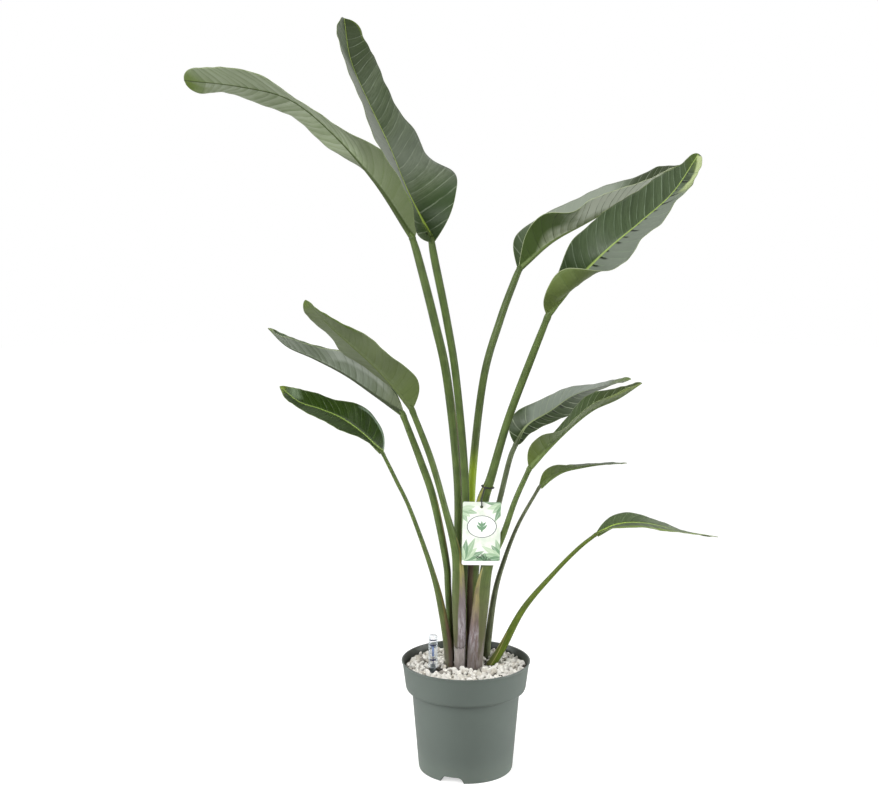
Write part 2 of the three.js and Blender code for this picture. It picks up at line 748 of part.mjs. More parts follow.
// The filling: the inside of the pot up to a rough surface of pebbles.
function buildFilling() {
  const [collarWall, collarFrom] = [101, POT.collarFoot + 4];
  const wallAt = (height) => collarWall + ((height - collarFrom) / (POT.height - collarFrom)) * 6;
  const profile = [
    [75.6, POT.floor + ROOM],
    [78.8, POT.floor + 3.5 + ROOM],
    [90.4 - 0.5, POT.collarFoot - 1.8 + ROOM],
    [98.2 - 0.3, POT.collarFoot + 0.4 + ROOM],
    [101 - ROOM, POT.collarFoot + 4],
    [wallAt(GRANULES.level) - ROOM - 0.1, GRANULES.level - 1],
  ];
  const next = random(GRANULES.seed);
  const points = [new THREE.Vector3(0, 0, POT.floor + ROOM)];
  const rings = profile.map(([radius, height]) => {
    const ring = [];
    for (let k = 0; k < POT.segments; k += 1) {
      const angle = (k / POT.segments) * 2 * Math.PI + Math.PI / 2;
      ring.push(points.length);
      points.push(new THREE.Vector3(radius * Math.cos(angle), radius * Math.sin(angle), height));
    }
    return ring;
  });
  const edge = profile.at(-1)[0];
  for (let r = GRANULES.rings - 1; r > 0; r -= 1) {
    const count = (POT.segments / GRANULES.rings) * r;
    const ring = [];
    for (let k = 0; k < count; k += 1) {
      const angle = ((k + 0.4 * (next() - 0.5)) / count) * 2 * Math.PI + Math.PI / 2;
      const radius = (edge * (r + 0.5 * (next() - 0.5))) / GRANULES.rings;
      const height = GRANULES.level + GRANULES.roughness * (2 * next() - 1);
      ring.push(points.length);
      points.push(new THREE.Vector3(radius * Math.cos(angle), radius * Math.sin(angle), height));
    }
    rings.push(ring);
  }
  rings.push([points.length]);
  points.push(new THREE.Vector3(0, 0, GRANULES.level));
  const faces = [];
  for (let k = 0; k < POT.segments; k += 1) {
    faces.push([0, rings[0][(k + 1) % POT.segments], rings[0][k]]);
  }
  for (let r = 0; r < rings.length - 1; r += 1) {
    const outer = rings[r];
    const inner = rings[r + 1];
    let i = 0;
    let j = 0;
    while (i < inner.length || j < outer.length) {
      const a = inner[i % inner.length];
      const b = outer[j % outer.length];
      if (i === inner.length || (j < outer.length && (j + 1) / outer.length <= (i + 1) / inner.length)) {
        faces.push([a, b, outer[(j + 1) % outer.length]]);
        j += 1;
      } else {
        faces.push([a, b, inner[(i + 1) % inner.length]]);
        i += 1;
      }
    }
  }
  return solid(indexed(points, faces.filter((face) => new Set(face).size === 3)));
}

// The root crown: a flattened lump with thick roots that reach down towards the wall.
function buildRootstock(swell) {
  const [x, y, z] = ROOTSTOCK.centre;
  const lump = new THREE.SphereGeometry(1, 16, 8).rotateX(Math.PI / 2);
  lump.scale(...ROOTSTOCK.radii.map((radius) => radius + swell)).translate(x, y, z);
  let body = solid(lump);
  for (const [heading, reach, foot] of ROOTS) {
    const out = new THREE.Vector2(reach, 0).rotateAround(new THREE.Vector2(), heading * RADIANS);
    const rings = [0, 0.25, 0.5, 0.75, 1].map((share) => [
      x * (1 - share) + out.x * Math.sqrt(0.12 + 0.88 * share) * (1 + 0.12 * Math.sin(9 * share)),
      y * (1 - share) + out.y * Math.sqrt(0.12 + 0.88 * share),
      z - 4 + (foot - z) * share,
      5.5 - 3 * share,
      5.5 - 3 * share,
    ]);
    body = body.add(limb(rings, 6, swell));
  }
  return body;
}

// Water gauge.

function placedAtGauge(profile, segments) {
  return turned(profile, segments).translate([GAUGE.x, GAUGE.y, 0]);
}

const GAUGE_FOOT = POT.floor + GAP;

// The dark pipe that stands on the pot's floor, its flared shoulder and the spigot above it.
function buildGaugeBody() {
  const pipe = GAUGE.pipe / 2;
  const bore = GAUGE.bore / 2;
  const channelBore = FLOAT.rod + 0.6;
  const profile = [
    [3.4, GAUGE_FOOT],
    [pipe, GAUGE_FOOT],
    [pipe, 164],
    [10.6, 168.5],
    [11.5, 170],
    [11.5, 173.5],
    [9.6, 175.2],
    [5, 177.2],
    [5, GAUGE.neckTop],
    [4.2, GAUGE.neckTop],
    [4.2, 189],
    [channelBore, 189],
    [channelBore, 165],
    [bore, 160],
    [bore, GAUGE_FOOT + 1.5],
    [3.4, GAUGE_FOOT + 1.5],
    [3.4, GAUGE_FOOT],
  ];
  let body = placedAtGauge(profile, GAUGE.segments);
  for (const turn of [0, 90]) {
    const slot = new THREE.BoxGeometry(2 * GAUGE.pipe, 2.4, 26);
    slot.rotateZ(turn * RADIANS).translate(GAUGE.x, GAUGE.y, GAUGE_FOOT + 1.5 + 4 + 13);
    body = body.subtract(solid(slot));
  }
  return body;
}

// The clear cap that shows the indicator, closed at the top, with a collar round the spigot.
function buildGaugeTube() {
  const outside = GAUGE.clear / 2;
  const profile = [
    [4.5, GAUGE.neckTop + GAP],
    [9, GAUGE.neckTop + GAP],
    [9, 188.6],
    [outside, 189.4],
    [outside, GAUGE.top - 3],
    [outside - 2.4, GAUGE.top],
    [0, GAUGE.top],
    [0, GAUGE.top - 1.2],
    [outside - 2.6, GAUGE.top - 1.2],
    [outside - 1.2, GAUGE.top - 3.4],
    [outside - 1.2, 190.4],
    [4.5, 189.4],
    [4.5, GAUGE.neckTop + GAP],
  ];
  return placedAtGauge(profile, GAUGE.segments);
}

// The float stands on the pipe's lip and carries the indicator on a thin rod.
function buildGaugeFloat() {
  const foot = GAUGE_FOOT + 1.5 + GAP;
  const profile = [
    [0, foot],
    [FLOAT.radius, foot],
    [FLOAT.radius, foot + FLOAT.length],
    [FLOAT.rod, foot + FLOAT.length + 4],
    [FLOAT.rod, FLOAT.from],
    [FLOAT.indicator, FLOAT.from],
    [FLOAT.indicator, FLOAT.to],
    [0, FLOAT.to],
  ];
  return placedAtGauge(profile, GAUGE.segments);
}

// Tag.

const TAG_AT = { x: 25.4, y: -19, z: 459.6 }; // the middle of the hole

function buildTag() {
  const { width, height, corner, holeDrop } = TAG;
  const left = -31.5;
  const right = left + width;
  const top = holeDrop;
  const bottom = top - height;
  const card = new THREE.Shape();
  card.moveTo(left + corner, bottom);
  card.lineTo(right - corner, bottom);
  card.quadraticCurveTo(right, bottom, right, bottom + corner);
  card.lineTo(right, top - corner);
  card.quadraticCurveTo(right, top, right - corner, top);
  card.lineTo(left + corner, top);
  card.quadraticCurveTo(left, top, left, top - corner);
  card.lineTo(left, bottom + corner);
  card.quadraticCurveTo(left, bottom, left + corner, bottom);
  card.holes.push(new THREE.Path().absarc(0, 0, TAG.hole, 0, 2 * Math.PI, true));
  const options = { depth: TAG.thickness, bevelEnabled: false, curveSegments: 6 };
  const geometry = new THREE.ExtrudeGeometry(card, options);
  geometry.translate(0, 0, -TAG.thickness / 2).rotateX(Math.PI / 2);
  geometry.rotateY(-TAG.turn * RADIANS).translate(TAG_AT.x, TAG_AT.y, TAG_AT.z);
  return solid(geometry);
}

// The moulded loop: a band round the stalk, a strand, and a small ring through the card's hole.
function buildLoop() {
  const { stalk: rings } = LEAVES[3];
  const at = smooth(rings, LOOP.stalkShare);
  const ahead = smooth(rings, LOOP.stalkShare + 0.02);
  const lean = vector(ahead).sub(vector(at)).normalize();
  const direction = lean.add(new THREE.Vector3(0, 0, 1)).normalize(); // the band hangs half level
  const wide = new THREE.Vector3(0, 1, 0).cross(direction).normalize();
  const deep = direction.clone().cross(wide);
  const room = LOOP.wire + LOOP.slack;
  const middle = 10;
  const band = new THREE.TorusGeometry(middle, LOOP.wire, 6, 16);
  const points = band.getAttribute('position');
  for (let i = 0; i < points.count; i += 1) {
    const angle = Math.atan2(points.getY(i), points.getX(i));
    const out = Math.hypot(points.getX(i), points.getY(i)) - middle;
    const x = (at[3] + room + out) * Math.cos(angle);
    const y = (at[4] + room + out) * Math.sin(angle);
    const spot = vector(at).addScaledVector(wide, x).addScaledVector(deep, y);
    spot.addScaledVector(direction, points.getZ(i));
    points.setXYZ(i, spot.x, spot.y, spot.z);
  }
  const ringFoot = TAG_AT.z + TAG.hole - LOOP.wire - GAP; // the card hangs on the ring's wire
  const ringTop = ringFoot + 2 * LOOP.ring;
  const ring = new THREE.TorusGeometry(LOOP.ring, LOOP.wire, 6, 12);
  ring.rotateY(Math.PI / 2).translate(TAG_AT.x, TAG_AT.y, ringFoot + LOOP.ring);
  const angle = -120 * RADIANS;
  const start = vector(at).addScaledVector(wide, (at[3] + room) * Math.cos(angle));
  start.addScaledVector(deep, (at[4] + room) * Math.sin(angle));
  const strand = wire([
    [start.x, start.y, start.z],
    [start.x * 0.4 + TAG_AT.x * 0.6, start.y * 0.4 + TAG_AT.y * 0.6 - 1, start.z * 0.45 + ringTop * 0.55],
    [TAG_AT.x, TAG_AT.y, ringTop],
  ], LOOP.wire, 6, 5);
  return solid(band).add(strand).add(solid(ring));
}

// The potted plant.

function build() {
  const leaves = growLeaves();
  const stalkHoles = LEAVES.map((leaf) => stalk(leaf, GAP)).reduce((all, hole) => all.add(hole));
  const rootstock = buildRootstock(0).subtract(stalkHoles);
  const pipeHole = placedAtGauge([
    [0, 0],
    [GAUGE.pipe / 2 + GAP, 0],
    [GAUGE.pipe / 2 + GAP, 163.9],
    [11.8, 168.3],
    [11.8, 200],
    [0, 200],
  ], GAUGE.segments);
  const filling = buildFilling()
    .subtract(channelsOutside(ROOM))
    .subtract(buildRootstock(GAP))
    .subtract(stalkHoles)
    .subtract(pipeHole);
  const plant = new THREE.Group();
  plant.add(piece('pot', buildPot(), '#67766a', 0.6));
  plant.add(piece('substrate', filling, '#d7d0c3', 0.95));
  plant.add(piece('rhizome', rootstock, '#b39a72', 0.85));
  plant.add(...leaves);
  plant.add(piece('gauge_body', buildGaugeBody(), '#3c4244', 0.45));
  plant.add(piece('gauge_tube', buildGaugeTube(), '#dfe7e8', 0.1, { transparent: true, opacity: 0.35 }));
  plant.add(piece('gauge_float', buildGaugeFloat(), '#5a6e96', 0.4));
  plant.add(piece('tag_card', buildTag(), '#dfe6da', 0.5));
  plant.add(piece('tag_loop', buildLoop(), '#1f2022', 0.5));
  return plant;
}

export default build();
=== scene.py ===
import math
import random

import bmesh
import bpy
import numpy as np
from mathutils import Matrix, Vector


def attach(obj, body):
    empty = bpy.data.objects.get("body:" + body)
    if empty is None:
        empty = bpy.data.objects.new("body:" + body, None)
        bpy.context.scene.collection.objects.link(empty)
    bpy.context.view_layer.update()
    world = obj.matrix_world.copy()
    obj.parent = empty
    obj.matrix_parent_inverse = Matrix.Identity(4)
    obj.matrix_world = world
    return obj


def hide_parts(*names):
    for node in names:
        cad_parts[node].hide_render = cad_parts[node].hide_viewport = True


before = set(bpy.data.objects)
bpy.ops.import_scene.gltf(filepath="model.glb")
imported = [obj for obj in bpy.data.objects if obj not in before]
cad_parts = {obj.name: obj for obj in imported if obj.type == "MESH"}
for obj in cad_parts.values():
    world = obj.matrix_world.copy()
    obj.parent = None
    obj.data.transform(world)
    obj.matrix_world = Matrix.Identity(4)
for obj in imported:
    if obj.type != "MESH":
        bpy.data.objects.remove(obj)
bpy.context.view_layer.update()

# Everything is worked out in millimetres, with +Z up, +X to the right and +Y to the back, and is
# turned into metres when a mesh is made.
MM = 0.001
SUPPORT = "plant"

# Pot, granules, gauge and tag, as in the part.
POT_HEIGHT = 190
RIM_RADIUS = 110
FOOT_RADIUS = 81
COLLAR_FOOT = 141
CHANNEL_WIDTH = 41
CHANNEL_HEIGHT = 10.5
CHANNEL_ROOF = 2
CHANNEL_FROM = 25
CHANNEL_HEADINGS = (252, 12, 132)
FLOOR_THICKNESS = 2.5
WALL_SLOPE = 0.148
WALL_HALF = 0.9
DRAIN_RADIUS = 4
GRANULE_LEVEL = 177
GAUGE_AT = (-56, -25)
GAUGE_FOOT = 2.8
GAUGE_NECK = 184.3
GAUGE_TOP = 241
TAG_AT = (25.4, -19, 459.6)
TAG_SIZE = (64, 108, 1)
TAG_LEFT = -31.5
TAG_HOLE = 2.6
TAG_HOLE_DROP = 8.2
TAG_CORNER = 3
TAG_TILT = 1
LOOP_SHARES = (0.532, 0.552)
WIRE = 1.1
RING = 5.4

# How finely things are divided. The four large blades have more rows.
LARGE_BLADES = (1, 2, 3, 4)
LARGE_ROWS = 181
SMALL_ROWS = 141
KEEL_STEPS = 5
OUTER_STEPS = 11
STALK_SIDES = 48
STALK_STEPS = 110
POT_SIDES = 144

# Section of a blade: width of the midrib, depth of the pleats, of the groove above the midrib and
# of the ridge under it, and thickness at the margin and more than that at the midrib.
KEEL = 4.2
KEEL_LOSS = 2.6
PLEAT = 0.55
GROOVE = 0.6
RIDGE = 4.4
TIP_RIDGE = 0.5
THIN = 0.45
THICKER = 0.5

# Granules: level, spacing and scatter of each layer, the sizes that are drawn from, the radius of
# the bed, the room round the gauge, and the shapes and the planes cut off each of them.
BED_RADIUS = 104.2
GAUGE_ROOM = 11.6
PEBBLES = 9
PEBBLE_CUTS = 9
GRANULE_SEED = 11
GRANULE_LAYERS = ((-3.2, 7.8, 1.8), (1.4, 8.8, 2.6))
GRANULE_SIZES = (6.6, 7.6, 8.6, 9.4, 10.4, 11.4)

# The eleven leaves. rib: the midrib from neck to tip. stalk: centre, half width and, where it isn't
# round, half depth from foot to neck. roll: degrees that the upper face turns to the blade's right.
# fold and curl: degrees that the left and the right half rise at the midrib and gain on the way out.
# shape: place of the widest point and the two exponents of the taper. trim: share of that width on
# the left and on the right. wave: height and number of waves. ribs: lateral ribs along the blade.
LEAVES = {
    1: dict(
        width=(66, 66), shape=(0.3, 3.2, 0.5), wave=(1.5, 5), ribs=30,
        rib=[(-92, 60, 909), (-152, 74, 1000), (-222, 87, 1080), (-297, 91, 1139), (-383, 95, 1161),
             (-479, 104, 1172)],
        roll=[25, 27, 16, 12, 16, 26],
        fold=([50, 40, 24, 8, -5, -6, 3, 3, 8], [80, 46, 13, -13, -15, -7, -4, 9, -8]),
        trim=([1.5, 1.15, 1.05, 1, 0.95, 0.99, 1.08, 1.19, 0.96, 1.03, 1.04],
              [0.45, 0.45, 0.45, 0.73, 0.9, 1.06, 1.11, 1.07, 1.01, 1.04, 1.18]),
        stalk=[(-10, 24, 122, 7.5), (-10, 26, 197, 7.5), (-13, 25, 357, 7.4), (-14, 25, 497, 7.4),
               (-32, 36, 667, 7.4), (-54, 46, 768, 7.3), (-80, 57, 869, 6.8), (-92, 60, 909, 5.5)]),
    2: dict(
        width=(88, 92), shape=(0.24, 2.8, 0.5), wave=(2, 4), up=(1, 0, 0), ribs=24,
        rib=[(-57, 0, 903), (-95, 3, 978), (-126, 6, 1054), (-160, 12, 1125), (-190, 20, 1195),
             (-201, 30, 1263)],
        roll=[-62, -37, -24, -22, -28, -36],
        fold=([33, 42, 30, 16, 11, 13, 19, 20, 25], [51, 34, 12, 1, 16, 14, 12, 9, 9]),
        trim=([1.42, 1.26, 1.15, 1.09, 1, 1.02, 0.99, 1.02, 0.96, 0.91, 0.84],
              [0.96, 0.93, 1.35, 1.22, 0.88, 0.76, 0.76, 0.87, 0.76, 0.77, 1.1]),
        stalk=[(-6, 9, 122, 6.5), (-4, 9, 203, 6.5), (-3, 8, 362, 6.5), (-2, 6, 501, 6.5),
               (-17, 4, 671, 6.5), (-33, 2, 771, 6.5), (-53, 0, 870, 6.5), (-59, 0, 906, 5.2)]),
    3: dict(
        width=(72, 62), shape=(0.3, 2, 0.7), wave=(1.5, 4), ribs=22,
        rib=[(93, 85, 855), (145, 80, 901), (202, 74, 933), (260, 66, 965), (317, 58, 996), (374, 50, 1022)],
        roll=[14, 4, 11, 8, 7, 3],
        fold=([78, 46, 33, 27, 28, 26, 24, 26, 27], [72, 59, 45, 29, 33, 27, 24, 24, 37]),
        trim=([1.33, 1.16, 1.06, 0.98, 1, 0.98, 0.95, 0.88, 1.04, 1.13, 1.21],
              [0.64, 0.91, 1.18, 1.15, 1.14, 1.08, 0.94, 0.94, 0.89, 1.1, 1.4]),
        stalk=[(3, 40, 122, 6.8), (5, 40, 193, 6.8), (9, 41, 353, 6.8), (11, 46, 493, 6.8),
               (30, 58, 665, 6.6), (59, 72, 767, 6.4), (84, 83, 834, 6), (93, 85, 855, 5.2)]),
    4: dict(
        width=(72, 70), shape=(0.3, 3, 0.5), wave=(2, 5), ribs=22,
        rib=[(133, -40, 784), (172, -47, 834), (222, -56, 886), (276, -66, 933), (324, -75, 978),
             (362, -84, 1038)],
        roll=[14, 46, 43, 38, 39, 40],
        fold=([55, 52, 55, 26, 14, 9, 11, 9, 11], [61, 14, -4, 3, 11, 11, 12, 3, 6]),
        trim=([0.53, 0.45, 0.64, 0.78, 0.86, 0.94, 0.77, 0.79, 0.56, 0.45, 0.45],
              [1.36, 1.22, 1.03, 0.76, 0.8, 0.72, 0.71, 0.45, 0.66, 1.05, 1.21]),
        curl=([0, 0], [10, 150, 0, 0, 0, 60]),
        stalk=[(8, 12, 122, 9, 8), (7, 13, 202, 9, 8), (14, 12, 361, 10, 7.5), (26.5, 7, 457, 10.5, 7),
               (41.5, 2, 505, 7.6, 6.8), (69, -10, 605, 6.6), (105, -24, 707, 6.4), (133, -40, 784, 5.2)]),
    5: dict(
        width=(45, 45), shape=(0.35, 2, 0.8), wave=(1.5, 4), ribs=20,
        rib=[(-109, 50, 609), (-154, 53, 641), (-205, 58, 675), (-260, 66, 702), (-307, 73, 722),
             (-340, 80, 752)],
        roll=[0, 0, 2, 3, -1, -4],
        fold=([59, 57, 55, 55, 56, 49, 47, 42, 40], [49, 44, 40, 39, 39, 30, 30, 31, 36]),
        trim=([1.01, 1.02, 1.02, 1, 0.93, 0.73, 0.75, 0.82, 0.82, 0.83, 0.85],
              [0.98, 1.02, 1.06, 1.12, 1.14, 0.97, 0.81, 0.87, 0.7, 0.72, 0.93]),
        stalk=[(-26, 24, 122, 6), (-25, 26, 197, 6), (-30, 28, 304, 6), (-34, 30, 356, 6.2),
               (-55, 36, 460, 6.4), (-78, 43, 528, 6.2), (-109, 50, 609, 5)]),
    6: dict(
        width=(46, 46), shape=(0.33, 2.2, 0.6), wave=(1, 4), ribs=18,
        rib=[(-92, -20, 627), (-120, -24, 664), (-153, -28, 700), (-188, -33, 732), (-225, -38, 766),
             (-263, -44, 807)],
        roll=[36, 32, 28, 29, 22, 19],
        fold=([22, 19, 13, 6, 9, 4, -1, -9, -8], [49, 28, 18, 9, 5, 1, 2, -7, -14]),
        trim=([1.6, 1.4, 1.15, 1.1, 1.06, 1.02, 1.04, 1.02, 0.97, 0.96, 0.96],
              [0.9, 0.88, 0.93, 0.98, 0.99, 1, 0.84, 0.91, 1.09, 1.22, 1.3]),
        stalk=[(-11, -8, 122, 10, 8), (-10, -8, 200, 10, 9), (-12, -9, 296, 12, 8),
               (-16, -10, 375, 8.5, 6.5), (-34, -13, 449, 5.6), (-59, -17, 539, 5.4), (-92, -20, 627, 4.8)]),
    7: dict(
        width=(36, 38), shape=(0.3, 2.2, 0.75), wave=(1, 4), ribs=16,
        rib=[(-141, -10, 551), (-174, -16, 585), (-208, -24, 611), (-242, -32, 627), (-276, -40, 640),
             (-306, -48, 666)],
        roll=[-53, -40, -42, -37, -37, -46],
        fold=([40, 37, 26, 17, 13, 12, 17, 16, 14], [9, 10, 14, 16, 12, 12, 17, 20, 20]),
        trim=([0.93, 0.96, 1.04, 1.04, 1.02, 1.02, 0.96, 0.92, 1, 1.08, 1.15],
              [1.36, 1.2, 1.2, 0.98, 0.8, 0.78, 0.83, 0.86, 0.76, 0.71, 0.74]),
        stalk=[(-28, 2, 122, 7, 6), (-29, 3, 196, 8, 7), (-39, 2, 267, 7, 5.5), (-57, -1, 343, 4.6),
               (-93, -5, 448, 3.4), (-118, -8, 503, 3.3), (-141, -10, 551, 3)]),
    8: dict(
        width=(42, 42), shape=(0.3, 2.2, 0.7), wave=(1, 4), ribs=18,
        rib=[(87, 65, 553), (106, 63, 586), (145, 60, 611), (185, 56, 639), (232, 51, 655), (281, 45, 668)],
        roll=[36, 36, 26, 13, 4, 7],
        fold=([64, 35, 13, 6, 4, 0, 1, 1, 12], [-21, -29, -18, -7, -5, 0, 4, 5, 6]),
        trim=([1.08, 0.96, 0.82, 0.92, 0.98, 0.93, 0.97, 0.94, 0.99, 1.1, 1.17],
              [1.02, 0.8, 0.54, 0.78, 1.2, 1.24, 1.15, 1.07, 1.02, 0.99, 0.98]),
        curl=([0, 0], [150, 100, 0, 0, 0, 0, 0]),
        stalk=[(16, 34, 122, 6), (18, 34, 195, 6), (25, 34, 302, 5.6), (41, 42, 388, 5.2),
               (59, 53, 457, 4.8), (76, 62, 525, 4.6), (87, 65, 553, 4.2)]),
    9: dict(
        width=(40, 40), shape=(0.3, 2.2, 0.7), wave=(1, 4), ribs=18,
        rib=[(106, -22, 528), (135, -27, 562), (170, -32, 597), (207, -38, 627), (247, -44, 646),
             (285, -50, 672)],
        roll=[7, 4, 9, 5, 1, 3],
        fold=([31, 27, 22, 22, 27, 29, 28, 23, 23], [74, 54, 39, 18, 20, 20, 22, 21, 21]),
        trim=([0.95, 0.71, 0.5, 0.6, 0.82, 0.98, 1.08, 1, 0.93, 0.97, 1.04],
              [1.06, 1.05, 1.11, 1.08, 1.08, 1.07, 1.06, 1.11, 1.06, 1.06, 1.08]),
        stalk=[(14, -8, 122, 12, 8), (15.5, -8, 200, 14.2, 9.5), (25.5, -9, 296, 13.8, 8.5),
               (37, -9, 357, 9, 6.5), (61, -12, 408, 5.5, 5), (82, -17, 471, 4.6), (106, -22, 528, 4.2)]),
    10: dict(
        width=(18, 18), shape=(0.3, 2, 0.8), wave=(0.5, 4), ribs=12,
        rib=[(127, 40, 483), (146, 40, 499), (167, 40, 511), (194, 40, 517), (230, 40, 522), (276, 40, 524)],
        roll=[-1, -2, 3, -3, -2, 0],
        fold=([10, 10, 9, 8, 5, 2, 1, 0, 0], [66, 66, 53, 30, 17, 9, 3, 0, -1]),
        trim=([1] * 11, [1.15, 1.3, 1.22, 1.01, 0.89, 0.8, 0.77, 0.86, 0.94, 0.99, 1.03]),
        stalk=[(35, 52, 122, 6.8, 6), (37, 48.5, 183, 6.8, 6), (50, 45, 288, 5, 4.8), (67, 43, 353, 3.8),
               (91, 41, 417, 3.1), (127, 40, 483, 2.8)]),
    11: dict(
        width=(27, 25), shape=(0.32, 2, 0.8), wave=(0.7, 4), ribs=14,
        rib=[(221, 0, 409), (255, -4, 427), (301, -8, 430), (360, -12, 418), (423, -16, 408)],
        roll=[13, 17, 11, 2, -6, -9],
        fold=([18, 14, 10, 4, 1, -1, -5, -12, -13], [18, 14, 9, 4, 0, -1, 0, 0, 0]),
        trim=([1.17, 1.12, 1.08, 1.03, 1.01, 1, 1.02, 1.06, 1.09, 1.13, 1.16], [1] * 11),
        stalk=[(30, 6, 122, 8), (37, 8, 164, 8.5, 8), (63, 7, 209, 7.2, 6.8), (99, 5, 278, 5.2),
               (151, 2, 342, 3.8), (191, 1, 384, 3.4), (221, 0, 409, 3)]),
}
for form in LEAVES.values():
    form["stalk"] = [(*row, row[3])[:5] for row in form["stalk"]]

# The opening of each sheath: the heading that it faces (0 is +X, -90 the front), its half angle at
# the foot and the height of its tip.
SHEATHS = {
    1: (-25, 58, 640), 2: (10, 50, 470), 3: (-150, 50, 420), 4: (-140, 75, 490), 5: (-30, 62, 466),
    6: (-38, 88, 404), 7: (-30, 70, 350), 8: (-150, 40, 300), 9: (-148, 92, 354), 10: (-160, 60, 300),
    11: (-150, 60, 235),
}

